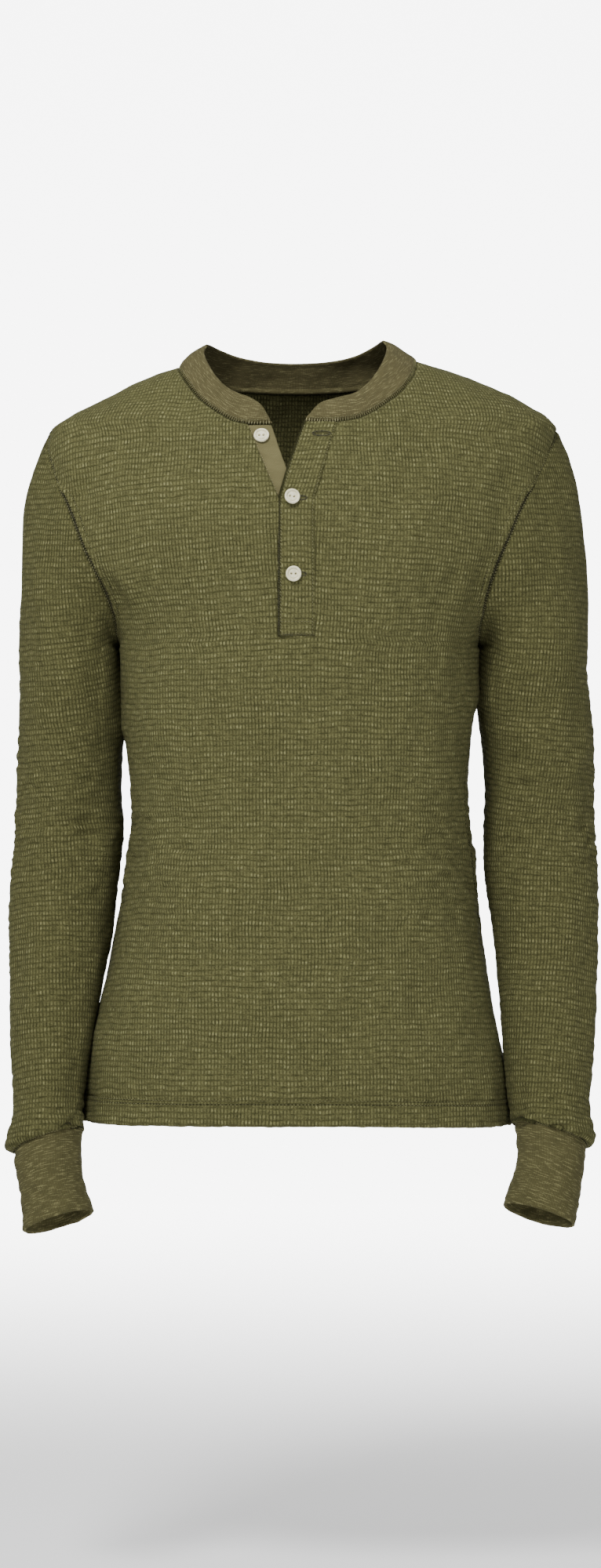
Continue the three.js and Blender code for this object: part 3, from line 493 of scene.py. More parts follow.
def ring(tab, side, above, drop, rise):
    """The two halves of a ring, from its outer edge to its inner edge: {face: points}."""
    out = {}
    turn = np.linspace(0, np.pi, 121)
    for face in (FRONT, BACK):
        outward, fore = np.cos(turn), -face * np.sin(turn)
        z = CUFF_SEAM[side] + above - drop * outward + rise * fore
        x = mix(read(tab, "inner", z), read(tab, "outer", z), (outward + 1) / 2)
        y = mix(read(tab, "aft", z), read(tab, "fore", z), (fore + 1) / 2)
        out[face] = even(np.stack([side * x, y, z], 1), HALF_STEPS * K)
    return out


def around(side, halves):
    """A tube's row from the underarm round to the underarm again, to the right as seen from outside."""
    front, back = halves[FRONT], halves[BACK]
    first, second = (back, front) if side < 0 else (front, back)
    return np.vstack([first[::-1], second[1:]])


def sleeve(side):
    arm = {f: even(ARM[side, f], HALF_STEPS * K) for f in (FRONT, BACK)}
    shapes = through(columns(SLEEVE_RINGS, "above drop rise"), RINGS)
    first = ring(SLEEVE[side], side, *shapes[0])
    rows = []
    for s in spaced(FAN, K)[:-1]:
        halves = {}
        for face in (FRONT, BACK):
            t = np.arange(HALF_STEPS * K + 1) / (HALF_STEPS * K)
            c = np.cos(np.pi * t)
            fore = -face * 0.28 * np.sin(np.pi * t)
            out = unit(np.stack([side * (0.8 - 0.2 * c), fore, -0.38 - 0.4 * c], 1))
            start, end = arm[face], first[face]
            reach = np.linalg.norm(end - start, axis=1)[:, None]
            p = start * (1 + 2 * s) * (1 - s) ** 2 + end * s * s * (3 - 2 * s)
            p = p + out * reach * FAN_START * s * (1 - s) ** 2
            p[:, 2:] += reach * FAN_END * s * s * (1 - s)
            halves[face] = p
        rows.append(around(side, halves))
    for shape in shapes:
        rows.append(around(side, ring(SLEEVE[side], side, *shape)))
    seam = around(side, ring(CUFF[side], side, 0, 9, 9))
    last = rows[-1]
    for t in np.arange(1, K + 1) / K:
        p = mix(last, seam, t)
        p[:, 2] -= 2.2 * math.sin(math.pi * t) ** 0.8
        rows.append(p)
    return folded(np.array(rows)[::-1])


def cuff(side):
    shapes = through(columns(CUFF_RINGS, "above drop rise"), 2 * K)
    return folded(np.array([around(side, ring(CUFF[side], side, *shape)) for shape in shapes])[::-1])


def neckband():
    left, right = neck_rows(NECK_LEFT), neck_rows(NECK_RIGHT)[::-1]
    back = neck_rows(NECK_BACK)[::-1]
    parts = ((left, FRONT), (back, BACK), (right, FRONT))
    low = [on_front(rows[:, 0], rows[:, 1], face) for rows, face in parts]
    low = worn(np.vstack([low[0], low[1][1:-1], low[2]]))
    high = np.vstack([left, back[1:-1], right])[:, 2:]
    out = unit(low * [1, 1, 0])
    wide = np.linalg.norm(high - low, axis=1)[:, None]
    levels = np.linspace(0, 1, 3 * K + 1)
    return np.array([mix(low, high, t) + out * 0.32 * wide * t * (1 - t) for t in levels])


def normals(p):
    """Outward normals of a grid whose rows go up and columns to the right as seen from outside."""
    return unit(np.cross(np.gradient(p, axis=1), np.gradient(p, axis=0)))


def strip(first, last, insets, heights, raised):
    z = spaced(heights, 16)
    a, b = read(PLACKET, first, z) + insets[0], read(PLACKET, last, z) - insets[1]
    t = np.linspace(0, 1, 61)
    x = mix(a[:, None], b[:, None], t)
    return lifted(x, z[:, None] + 0 * x, raised)[0]


def lifted(x, z, raised):
    """Points raised off the front's surface at x and z, and its normals there."""

    def at(dx, dz):
        return worn(on_front(x + dx, z + dz))

    normal = unit(np.cross(at(2, 0) - at(-2, 0), at(0, 2) - at(0, -2)))
    return at(0, 0) + normal * raised, normal


# the flat cut: each cloth grid is laid flat with as little stretch as possible
def flatten(p, has, rounds=30):
    """Flat places in mm of a grid's points, by rotating each triangle as rigidly as it goes."""
    rows, cols = p.shape[:2]
    ids = np.arange(rows * cols).reshape(rows, cols)
    a, b, c, d = ids[:-1, :-1][has], ids[:-1, 1:][has], ids[1:, 1:][has], ids[1:, :-1][has]
    tri = np.vstack([np.stack([a, b, c], 1), np.stack([a, c, d], 1)])
    used, inv = np.unique(tri, return_inverse=True)
    tri = inv.reshape(-1, 3)
    q = p.reshape(-1, 3)[used]
    e1, e2 = q[tri[:, 1]] - q[tri[:, 0]], q[tri[:, 2]] - q[tri[:, 0]]
    l1 = np.linalg.norm(e1, axis=1)
    x2 = (e1 * e2).sum(1) / l1
    y2 = np.sqrt(np.maximum((e2 * e2).sum(1) - x2 * x2, 1e-9))
    zero = 0 * l1
    local = np.stack([np.stack([zero, zero], 1), np.stack([l1, zero], 1), np.stack([x2, y2], 1)], 1)
    n = len(q)
    lap = np.zeros((n, n))
    cots = []
    for k in range(3):
        i, j = (k + 1) % 3, (k + 2) % 3
        u, v = local[:, i] - local[:, k], local[:, j] - local[:, k]
        cot = (u * v).sum(1) / np.maximum(np.abs(u[:, 0] * v[:, 1] - u[:, 1] * v[:, 0]), 1e-9) / 2
        cot = np.clip(cot, 0.02, 8)
        cots.append(cot)
        for s, t, w in ((i, j, -1), (j, i, -1), (i, i, 1), (j, j, 1)):
            np.add.at(lap, (tri[:, s], tri[:, t]), w * cot)
    lap[0, 0] += 1
    inverse = np.linalg.inv(lap)
    jj, ii = np.meshgrid(np.arange(cols), np.arange(rows))
    step_u = gaps(p, 1).mean()
    up = np.r_[0, np.cumsum(gaps(p, 0).mean(1))]
    uv = np.stack([(jj - cols / 2) * step_u, up[ii]], -1).reshape(-1, 2)[used]
    for _ in range(rounds):
        rhs = np.zeros((n, 2))
        cov = np.zeros((len(tri), 2, 2))
        for k in range(3):
            i, j = (k + 1) % 3, (k + 2) % 3
            flat_edge, edge = uv[tri[:, j]] - uv[tri[:, i]], local[:, j] - local[:, i]
            cov += np.einsum("n,ni,nj->nij", cots[k], flat_edge, edge)
        s = np.stack([cov[:, 0, 0] + cov[:, 1, 1], cov[:, 1, 0] - cov[:, 0, 1]], 1)
        s = unit(s)
        turn = np.stack([np.stack([s[:, 0], -s[:, 1]], 1), np.stack([s[:, 1], s[:, 0]], 1)], 1)
        for k in range(3):
            i, j = (k + 1) % 3, (k + 2) % 3
            edge = cots[k][:, None] * np.einsum("nij,nj->ni", turn, local[:, j] - local[:, i])
            np.add.at(rhs, tri[:, j], edge)
            np.add.at(rhs, tri[:, i], -edge)
        uv = inverse @ rhs
    out = np.full((rows * cols, 2), np.nan)
    out[used] = uv
    area = (local[:, 1, 0] * local[:, 2, 1]).sum() / 2
    return out.reshape(rows, cols, 2), area


def through_places(s, v, x):
    """A smooth reading at x of values v known at places s; a missing neighbour is left out."""
    k = np.clip(np.searchsorted(s, x, side="right") - 1, 0, len(s) - 2)
    step = np.diff(s)[:, None]
    rise = np.diff(v, axis=0) / step
    slope = np.empty_like(v)
    slope[1:-1] = (v[2:] - v[:-2]) / (step[1:] + step[:-1])
    slope[0], slope[-1] = rise[0], rise[-1]
    before, after = np.vstack([rise[:1], rise]), np.vstack([rise, rise[-1:]])
    slope = np.where(np.isnan(slope), np.where(np.isnan(before), after, before), slope)
    slope = np.nan_to_num(slope)
    h = step[k]
    t = ((x - s[k]) / h[:, 0])[:, None]
    a, b = v[k], np.where(np.isnan(v[k + 1]), v[k], v[k + 1])
    u = 1 - t
    ends = a * u * u * (1 + 2 * t) + b * t * t * (3 - 2 * t)
    return ends + slope[k] * h * t * u * u - slope[k + 1] * h * t * t * u


def cloth_places(p, rows, cols, has=None, upright=None):
    """Cloth coordinates in mm for a fine grid: some rows and columns laid flat, then read in between."""
    coarse = p[np.ix_(rows, cols)]
    has = np.ones((len(rows) - 1, len(cols) - 1), bool) if has is None else has
    uv, area = flatten(coarse, has)
    low, high = upright if upright else ((0, len(cols) // 2), (len(rows) // 2, len(cols) // 2))
    d = uv[high] - uv[low]
    turn = math.atan2(d[0], d[1])
    c, s = math.cos(turn), math.sin(turn)
    uv = (uv - uv[low]) @ np.array([[c, s], [-s, c]])
    if uv[0, -1, 0] < uv[0, 0, 0]:
        uv[..., 0] *= -1
    runs = [run_of(p[:, c]) for c in cols]
    tall = np.stack([through_places(run[rows], uv[:, j], run) for j, run in enumerate(runs)], 1)
    fine = np.stack([through_places(run_of(q)[cols], line, run_of(q)) for q, line in zip(p, tall)])
    return fine, area, np.nanmax(uv, (0, 1)) - np.nanmin(uv, (0, 1))


# creases and unevenness that the solids don't carry, in 3-D places so that seams still meet
CREASES = table(
    "x1 y1 z1 x2 y2 z2 width depth px py",
    # from the armpits over the front, right then left
    (-170, -60, -139, -150, -74, -170, 5, 1.5, 0.2, 1),
    (-160, -66, -150, -140, -80, -196, 6, -1.3, 0.2, 1),
    (-150, -72, -190, -142, -78, -232, 6, 1.6, 0.2, 1),
    (-128, -92, -196, -112, -104, -262, 9, 1.3, 0.1, 1),
    (-186, -52, -96, -166, -70, -150, 8, -1.2, 0.2, 1),
    (163, -62, -119, 146, -76, -186, 5, 1.6, -0.2, 1),
    (176, -54, -104, 158, -70, -160, 7, -1.3, -0.2, 1),
    (150, -72, -176, 139, -82, -232, 6, 1.5, -0.2, 1),
    (128, -92, -186, 106, -106, -266, 9, 1.4, -0.1, 1),
    # shoulder to chest
    (-118, -58, -42, -84, -98, -128, 12, 1.2, 0, 1),
    (124, -60, -44, 80, -98, -120, 12, 1.3, 0, 1),
    (66, -76, -60, 44, -106, -118, 10, 1.1, 0, 1),
    # waist, right side then left, front
    (-146, -24, -392, -104, -78, -380, 7, 1.7, 0.5, 0.8),
    (-142, -36, -418, -92, -96, -408, 7, 1.9, 0.5, 0.8),
    (-148, -20, -434, -112, -70, -428, 6, -1.5, 0.5, 0.8),
    (-150, -22, -452, -100, -88, -446, 8, 1.6, 0.5, 0.8),
    (-154, -14, -478, -118, -66, -468, 7, 1.2, 0.5, 0.8),
    (146, -26, -396, 100, -86, -376, 7, 1.8, -0.5, 0.8),
    (146, -20, -416, 112, -70, -404, 6, -1.5, -0.5, 0.8),
    (148, -30, -440, 86, -98, -424, 8, 2.0, -0.5, 0.8),
    (152, -18, -462, 108, -78, -452, 7, 1.5, -0.5, 0.8),
    (156, -16, -486, 122, -66, -480, 7, 1.2, -0.5, 0.8),
    # belly and hem, long and shallow
    (-60, -114, -300, -78, -112, -430, 20, 1.4, 0, 1),
    (52, -114, -290, 70, -112, -420, 22, 1.5, 0, 1),
    (-8, -118, -262, -16, -118, -350, 18, 1.2, 0, 1),
    (-110, -92, -520, -122, -88, -630, 14, 1.8, 0.3, 1),
    (-52, -114, -560, -48, -116, -634, 15, 1.5, 0, 1),
    (38, -116, -548, 30, -118, -634, 16, 1.6, 0, 1),
    (104, -96, -530, 118, -90, -636, 14, 1.9, -0.3, 1),
    (-160, -38, -560, -150, -58, -632, 10, -1.6, 0.6, 0.8),
    (156, -42, -568, 146, -64, -640, 10, -1.7, -0.6, 0.8),
    # back
    (-150, 60, -170, -104, 98, -300, 12, 1.8, 0.2, -1),
    (150, 58, -168, 100, 98, -310, 13, 1.9, -0.2, -1),
    (-132, 74, -388, -70, 100, -380, 8, 2.0, 0.3, -1),
    (-140, 60, -410, -40, 104, -414, 9, 2.4, 0.3, -1),
    (-138, 62, -436, -84, 96, -444, 8, -1.7, 0.3, -1),
    (136, 70, -384, 60, 102, -394, 8, 2.1, -0.3, -1),
    (140, 62, -414, 52, 104, -424, 9, 2.3, -0.3, -1),
    (142, 58, -446, 92, 94, -448, 8, -1.6, -0.3, -1),
    (-20, 116, -380, 60, 112, -366, 10, 1.8, 0, -1),
    (-64, 112, -470, 10, 116, -478, 10, 1.6, 0, -1),
    (-104, 96, -540, -116, 92, -636, 15, 2.0, 0.2, -1),
    (-34, 116, -552, -28, 118, -640, 16, 1.7, 0, -1),
    (58, 112, -540, 64, 112, -640, 15, 1.9, 0, -1),
    (-40, 96, -110, -70, 102, -210, 18, 1.8, 0, -1),
    (44, 96, -112, 76, 100, -214, 18, 1.7, 0, -1),
    # sleeves, front: elbows
    (-232, -8, -332, -176, -32, -352, 7, 2.0, 0.2, 1),
    (-168, -36, -362, -222, -20, -346, 6, -1.5, 0.2, 1),
    (-234, -6, -376, -184, -30, -392, 7, 1.9, 0.2, 1),
    (-172, -34, -398, -226, -22, -384, 6, 1.6, 0.2, 1),
    (-232, -14, -412, -190, -36, -430, 8, 1.4, 0.2, 1),
    (-160, -30, -300, -206, -34, -276, 9, 1.6, 0.1, 1),
    (-226, -12, -268, -186, -44, -300, 10, 1.3, 0.1, 1),
    (244, -8, -336, 190, -32, -358, 7, 2.0, -0.2, 1),
    (170, -34, -352, 232, -22, -336, 6, -1.5, -0.2, 1),
    (244, -6, -374, 196, -30, -394, 7, 2.1, -0.2, 1),
    (176, -34, -408, 234, -20, -392, 7, 1.7, -0.2, 1),
    (246, -12, -416, 200, -36, -436, 8, 1.4, -0.2, 1),
    (166, -34, -306, 214, -36, -280, 9, 1.5, -0.1, 1),
    (236, -14, -262, 196, -44, -300, 10, 1.3, -0.1, 1),
    # sleeves, front: forearm and above the cuff
    (-236, -38, -500, -214, -56, -590, 9, 1.5, 0.1, 1),
    (-186, -52, -520, -196, -60, -610, 9, 1.2, 0.1, 1),
    (-238, -52, -628, -190, -80, -622, 5, 1.6, 0.2, 1),
    (-236, -56, -640, -196, -84, -636, 4.5, -1.2, 0.2, 1),
    (246, -38, -494, 226, -56, -584, 9, 1.5, -0.1, 1),
    (192, -52, -520, 204, -60, -606, 9, 1.2, -0.1, 1),
    (246, -52, -622, 200, -80, -616, 5, 1.6, -0.2, 1),
    (244, -56, -634, 206, -84, -630, 4.5, -1.2, -0.2, 1),
    # sleeves, upper arm
    (-214, -38, -90, -196, -56, -190, 11, 1.4, 0.1, 1),
    (-180, -56, -200, -170, -50, -286, 9, 1.5, 0.1, 1),
    (218, -38, -92, 204, -56, -196, 11, 1.4, -0.1, 1),
    (182, -56, -204, 176, -50, -290, 9, 1.5, -0.1, 1),
    # sleeves, back
    (-236, 20, -340, -180, 46, -352, 8, 2.2, 0, -1),
    (-170, 44, -374, -230, 30, -362, 7, -1.6, 0, -1),
    (-236, 18, -388, -178, 42, -400, 8, 2.1, 0, -1),
    (246, 20, -338, 190, 46, -352, 8, 2.2, 0, -1),
    (178, 44, -376, 240, 30, -362, 7, -1.6, 0, -1),
    (246, 18, -390, 186, 42, -402, 8, 2.1, 0, -1),
    (-212, 56, -150, -190, 60, -260, 11, 1.8, 0, -1),
    (218, 56, -150, 198, 60, -262, 11, 1.8, 0, -1),
    (-206, 20, -560, -212, -2, -640, 9, 1.4, 0, -1),
    (214, 20, -560, 220, -2, -634, 9, 1.4, 0, -1),
)
CREASES["depth"] *= np.where(np.abs(CREASES["z1"] + 430) < 62, 1.9, 1.4)
for key in FOLDS:
    FOLDS[key] = np.r_[FOLDS[key], CREASES[key]]

rng = np.random.default_rng(11)
WAVE_SIZES = ((95, 0.55), (78, 0.5), (61, 0.45), (47, 0.36), (38, 0.3), (30, 0.24), (24, 0.2), (17, 0.14))
WAVES = [
    (unit(rng.normal(size=3) * [1, 1, 0.8]) * 2 * np.pi / length, rng.uniform(0, 6.28), height)
    for length, height in WAVE_SIZES
]


def unevenness(p):
    return sum(height * np.sin(p @ wave + phase) for wave, phase, height in WAVES)


def flicker(p, length, seed):
    """A seeded wobble between -1 and 1 over places, the same for every piece at one place."""
    r = np.random.default_rng(seed)
    total = 0
    for scale in (1, 0.57, 0.36):
        wave = unit(r.normal(size=3)) * 2 * np.pi / (length * scale)
        total = total + np.sin(p @ wave + r.uniform(0, 6.28))
    return total / 3


# shells of cloth
def ramp(gap):
    """Distance in mm from an edge of a grid, along an axis."""
    return np.concatenate([np.zeros_like(gap[..., :1]), np.cumsum(gap, axis=-1)], -1)


def from_edges(p):
    """Distances from the left, right, bottom and top edges of a grid, along its rows and columns."""
    left, bottom = ramp(gaps(p, 1)), ramp(gaps(p, 0).T).T
    return {"left": left, "right": left[:, -1:] - left, "bottom": bottom, "top": bottom[-1:] - bottom}


def shared_normals(grids, shares, places=None):
    """Normals of all grids, made common where grids meet, so that their edges are parallel."""
    found = [normals(g).reshape(-1, 3) for g in grids]
    points = np.vstack([g.reshape(-1, 3) for g in places or grids])
    weights = np.concatenate([np.full(len(f), s) for f, s in zip(found, shares)])
    keys, inv = np.unique(np.round(points * 20).astype(np.int64), axis=0, return_inverse=True)
    total = np.zeros((len(keys), 3))
    np.add.at(total, inv.reshape(-1), np.vstack(found) * weights[:, None])
    common = unit(total)[inv.reshape(-1)]
    out, at = [], 0
    for g in grids:
        n = g.shape[0] * g.shape[1]
        out.append(common[at : at + n].reshape(g.shape))
        at += n
    return out


def add_object(name, verts, faces, uvs, material, smooth_shading=True):
    mesh = bpy.data.meshes.new(name)
    verts, faces = np.asarray(verts, float) * MM, np.asarray(faces)
    sides = faces.shape[1]
    mesh.vertices.add(len(verts))
    mesh.vertices.foreach_set("co", verts.ravel())
    mesh.loops.add(faces.size)
    mesh.loops.foreach_set("vertex_index", faces.ravel().astype(np.int32))
    mesh.polygons.add(len(faces))
    mesh.polygons.foreach_set("loop_start", (np.arange(len(faces)) * sides).astype(np.int32))
    mesh.polygons.foreach_set("use_smooth", np.full(len(faces), smooth_shading))
    if uvs is not None:
        layer = mesh.uv_layers.new(name="cloth")
        layer.data.foreach_set("uv", (np.asarray(uvs, float) * MM).ravel())
    mesh.update(calc_edges=True)
    mesh.validate()
    obj = bpy.data.objects.new(name, mesh)
    obj.data.materials.append(material)
    bpy.context.scene.collection.objects.link(obj)
    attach(obj, "root")
    return obj


def shell(name, p, n, thick, uv, material, closed=False, has=None, rounded=(), marks=None):
    """A closed shell: the outer grid, an inner one thick below it, and rims; the rounded edges bulge.

    marks gives named values for the points of the grid, for the materials."""
    rows, cols = p.shape[:2]
    wide = cols - 1 if closed else cols
    outer, normal = p[:, :wide].reshape(-1, 3), n[:, :wide].reshape(-1, 3)
    t = np.broadcast_to(thick, (rows, cols))[:, :wide].reshape(-1, 1)
    inner = outer - normal * t
    has = np.ones((rows - 1, cols - 1), bool) if has is None else has
    i, j = np.nonzero(has)
    uvf = uv.reshape(-1, 2)

    def vid(a, b):
        return a * wide + b % wide if closed else a * wide + b

    def cid(a, b):
        return a * cols + b

    quads = np.stack([vid(i, j), vid(i, j + 1), vid(i + 1, j + 1), vid(i + 1, j)], 1)
    corners = np.stack([cid(i, j), cid(i, j + 1), cid(i + 1, j + 1), cid(i + 1, j)], 1)
    count = rows * wide
    faces, places = [quads, quads[:, ::-1] + count], [uvf[corners], uvf[corners[:, ::-1]]]
    padded = np.zeros((rows + 1, cols + 1), bool)
    padded[1:-1, 1:-1] = has
    if closed:
        padded[1:-1, 0], padded[1:-1, -1] = has[:, -1], has[:, 0]
    edges = []
    for edge, (di, dj), a, b in (
        ("bottom", (-1, 0), (0, 0), (0, 1)), ("right", (0, 1), (0, 1), (1, 1)),
        ("top", (1, 0), (1, 1), (1, 0)), ("left", (0, -1), (1, 0), (0, 0)),
    ):
        open_side = ~padded[i + 1 + di, j + 1 + dj]
        ii, jj = i[open_side], j[open_side]
        edges.append((
            edge,
            np.stack([vid(ii + a[0], jj + a[1]), vid(ii + b[0], jj + b[1])], 1),
            np.stack([cid(ii + a[0], jj + a[1]), cid(ii + b[0], jj + b[1])], 1),
        ))
    out = np.zeros((count, 3))
    for edge, ids, _ in edges:
        along = unit(outer[ids[:, 1]] - outer[ids[:, 0]])
        for k in (0, 1):
            np.add.at(out, ids[:, k], np.cross(along, normal[ids[:, k]]))
    out = unit(out)
    soft = np.zeros(count)
    for edge, ids, _ in edges:
        if edge in rounded:
            soft[ids.ravel()] = 1
    border = np.unique(np.concatenate([ids.ravel() for _, ids, _ in edges]))
    place = np.zeros(count, int)
    place[border] = np.arange(len(border)) + 2 * count
    middle = (outer[border] + inner[border]) / 2 + out[border] * (t[border] * 0.42 * soft[border, None])
    for edge, ids, cs in edges:
        a, b = ids[:, 0], ids[:, 1]
        ua, ub = uvf[cs[:, 0]], uvf[cs[:, 1]]
        faces.append(np.stack([b, a, place[a], place[b]], 1))
        faces.append(np.stack([place[b], place[a], a + count, b + count], 1))
        places += [np.stack([ub, ua, ua, ub], 1)] * 2
    verts = np.vstack([outer, inner, middle])
    faces, places = np.vstack(faces), np.concatenate(places)
    used, inv = np.unique(faces, return_inverse=True)
    obj = add_object(name, verts[used], inv.reshape(faces.shape), places.reshape(-1, 2), material)
    for key, values in (marks or {}).items():
        flat = values[:, :wide].ravel()
        layer = obj.data.attributes.new(key, "FLOAT", "POINT")
        layer.data.foreach_set("value", np.concatenate([flat, flat, flat[border]])[used].astype(np.float32))
    return obj


def tucked(p, edges, closed=False, by=-0.3):
    """Draws the named edges of a grid out a little, under the piece that they are sewn to."""
    q = p.copy()
    for edge in edges:
        if edge in ("left", "right") and not closed:
            a, b = (0, 1) if edge == "left" else (-1, -2)
            q[:, a] += unit(p[:, b] - p[:, a]) * by
        elif edge in ("bottom", "top"):
            a, b = (0, 1) if edge == "bottom" else (-1, -2)
            q[a] += unit(p[b] - p[a]) * by
    return q


# thread
def blob():
    verts = [(1, 0, 0), (-1, 0, 0), (0.25, 1, 0), (0.25, -1, 0), (0.25, 0, 1), (0.25, 0, -0.6)]
    verts += [(-0.35, 0.9, 0), (-0.35, -0.9, 0), (-0.35, 0, 0.95)]
    faces = [(0, 2, 4), (0, 4, 3), (0, 3, 5), (0, 5, 2), (2, 6, 8), (2, 8, 4), (4, 8, 7), (4, 7, 3)]
    faces += [(6, 1, 8), (8, 1, 7), (7, 1, 5), (7, 5, 3), (6, 5, 1), (6, 2, 5)]
    return np.array(verts, float), np.array(faces)


def stitch_row(points, n, pitch=2.7, length=0.36, radius=0.28, lean=0.0, seed=1, sunk=0.1, wild=0.07):
    """Stitches along a line on the cloth: (points, faces) of small thread loops, uneven by a little."""
    run = run_of(points)
    count = max(2, int(run[-1] / pitch))
    r = np.random.default_rng(seed)
    at = (np.arange(count) + 0.5) * run[-1] / count + r.normal(0, 0.06, count) * pitch
    pos = np.stack([np.interp(at, run, points[:, a]) for a in range(3)], 1)
    up = unit(np.stack([np.interp(at, run, n[:, a]) for a in range(3)], 1))
    ahead = np.stack([np.interp(at + 0.6, run, points[:, a]) for a in range(3)], 1)
    behind = np.stack([np.interp(at - 0.6, run, points[:, a]) for a in range(3)], 1)
    along = unit(ahead - behind)
    side = unit(np.cross(up, along))
    angle = lean + r.normal(0, wild, count)
    axis = along * np.cos(angle)[:, None] + side * np.sin(angle)[:, None]
    across = unit(np.cross(up, axis))
    size = pitch * length * r.uniform(1 - wild, 1 + wild, count)
    base, tri = blob()
    v = (
        pos[:, None] + up[:, None] * (radius * 0.55 - sunk)
        + axis[:, None] * base[None, :, :1] * size[:, None, None]
        + across[:, None] * base[None, :, 1:2] * radius + up[:, None] * base[None, :, 2:] * radius
    )
    f = tri[None] + (np.arange(count) * len(base))[:, None, None]
    return v.reshape(-1, 3), f.reshape(-1, 3)


def joined(parts):
    verts, faces, at = [], [], 0
    for v, f in parts:
        verts.append(v)
        faces.append(f + at)
        at += len(v)
    return np.vstack(verts), np.vstack(faces)


def line_at(p, n, distance, from_where, first=0, last=None):
    """A line on a grid at that distance in mm from one of its edges: points and normals."""
    edge = from_edges(p)[from_where]
    rows = from_where in ("left", "right")
    d, q, m = (edge, p, n) if rows else (edge.T, p.swapaxes(0, 1), n.swapaxes(0, 1))
    if from_where in ("right", "top"):
        d, q, m = d[:, ::-1], q[:, ::-1], m[:, ::-1]
    pts, nos = [], []
    for dd, qq, mm_ in zip(d, q, m):
        pts.append([np.interp(distance, dd, qq[:, a]) for a in range(3)])
        nos.append([np.interp(distance, dd, mm_[:, a]) for a in range(3)])
    last = len(pts) if last is None else last
    return np.array(pts)[first:last], unit(np.array(nos)[first:last])


# the pieces of cloth
SLOT_FIRST = (NECK_STEPS + SHOULDER_STEPS) * K
SLOT_LAST = SLOT_FIRST + SLOT_STEPS * K
grids = {
    "front": front_panel(), "back": back_panel(),
    "sleeve_right": sleeve(RIGHT), "sleeve_left": sleeve(LEFT),
    "cuff_right": cuff(RIGHT), "cuff_left": cuff(LEFT), "neckband": neckband(),
}
shares = {"front": 0.5, "back": 0.5}
names = list(grids)
plain = dict(zip(names, shared_normals([grids[n] for n in names], [shares.get(n, 1) for n in names])))


def ripples(p):
    """Small ripples across the cloth: strongest at the waist's sides, the elbows and above the cuffs."""
    z, out = p[..., 2], np.abs(p[..., 0])
    total = 0
    for length, height, seed in ((16, 0.62, 51), (11.5, 0.5, 52), (8.2, 0.32, 53)):
        phase = 3.4 * flicker(p * [1, 1, 0.6], 75, seed)
        patches = smooth(0.5 + 1.1 * flicker(p, 36, seed + 10))
        total = total + height * patches * np.sin(2 * np.pi * z / length + phase)
    arm = smooth((out - 150) / 40) * smooth((-190 - z) / 60)
    on_arm = 0.7 + 1.0 * np.exp(-(((z + 395) / 60) ** 2)) + 0.5 * np.exp(-(((z + 622) / 20) ** 2))
    on_waist = 0.2 + 1.7 * np.exp(-(((z + 420) / 66) ** 2)) * smooth((out - 50) / 60)
    beside = 1 - 0.65 * np.exp(-(((out - 156) / 14) ** 2)) * smooth((-300 - z) / 40)
    return total * mix(on_waist, on_arm, arm) * beside


def pressed(p):
    """Below the armpits and beside the hem, sleeve and side lie against each other."""
    x, y, z = p[..., 0], p[..., 1], p[..., 2]
    right = x < 0
    low = np.where(right, -322, -296)
    above = smooth((-238 - z) / 4) * smooth((z - low) / 16) * np.exp(-((y / 40) ** 2))
    below = smooth((np.where(right, -545, -585) - z) / 25) * smooth((z + 648) / 8)
    on_sleeve = smooth((np.where(right, 186, 184) - np.abs(x)) / 6)
    on_sleeve = on_sleeve * smooth((y + 80) / 20) * smooth((-8 - y) / 10)
    return above * np.where(np.abs(x) < 164, np.where(right, 2.6, 3.2), 0) + below * on_sleeve * 1.6


def seam_marks(name, p):
    """How near the points are to a seam, and to a row of stitches on the cloth: REACH at it, 0 far off; the
    materials paint shade beside them by these marks.
    """
    d = from_edges(p)
    if name in ("front", "back"):
        beside = np.minimum(d["left"], d["right"])
        on_top = np.where(p[..., 2] > ARMHOLE_FOOT, np.abs(beside - TOPSTITCH), REACH)
        low = d["bottom"]
        rows = np.minimum(on_top, np.minimum(*(np.abs(low - line) for line in HEM_LINES)))
        seam = np.minimum(beside, d["top"])
    elif name.startswith("sleeve"):
        seam = np.minimum(np.minimum(d["left"], d["right"]) + 1, np.minimum(d["top"], d["bottom"]))
        rows = REACH + 0 * seam
    else:
        seam = d["top"] if name.startswith("cuff") else d["bottom"]
        rows = REACH + 0 * seam
    return {"seam": np.maximum(0, REACH - seam), "stitched": np.maximum(0, REACH - rows)}


def dip(d, deep, wide):
    return deep * np.exp(-((d / wide) ** 2))


def seam_dip(p, d):
    """How far the cloth dips at a seam that is d mm away: a ditch, gathered a little along it."""
    gather = 1 + 0.35 * flicker(p, 9, 5)
    return dip(d, 0.95, 1.7) * gather - dip(d - 4.2, 0.32, 2.2) * (1 + 0.9 * flicker(p, 11, 6))


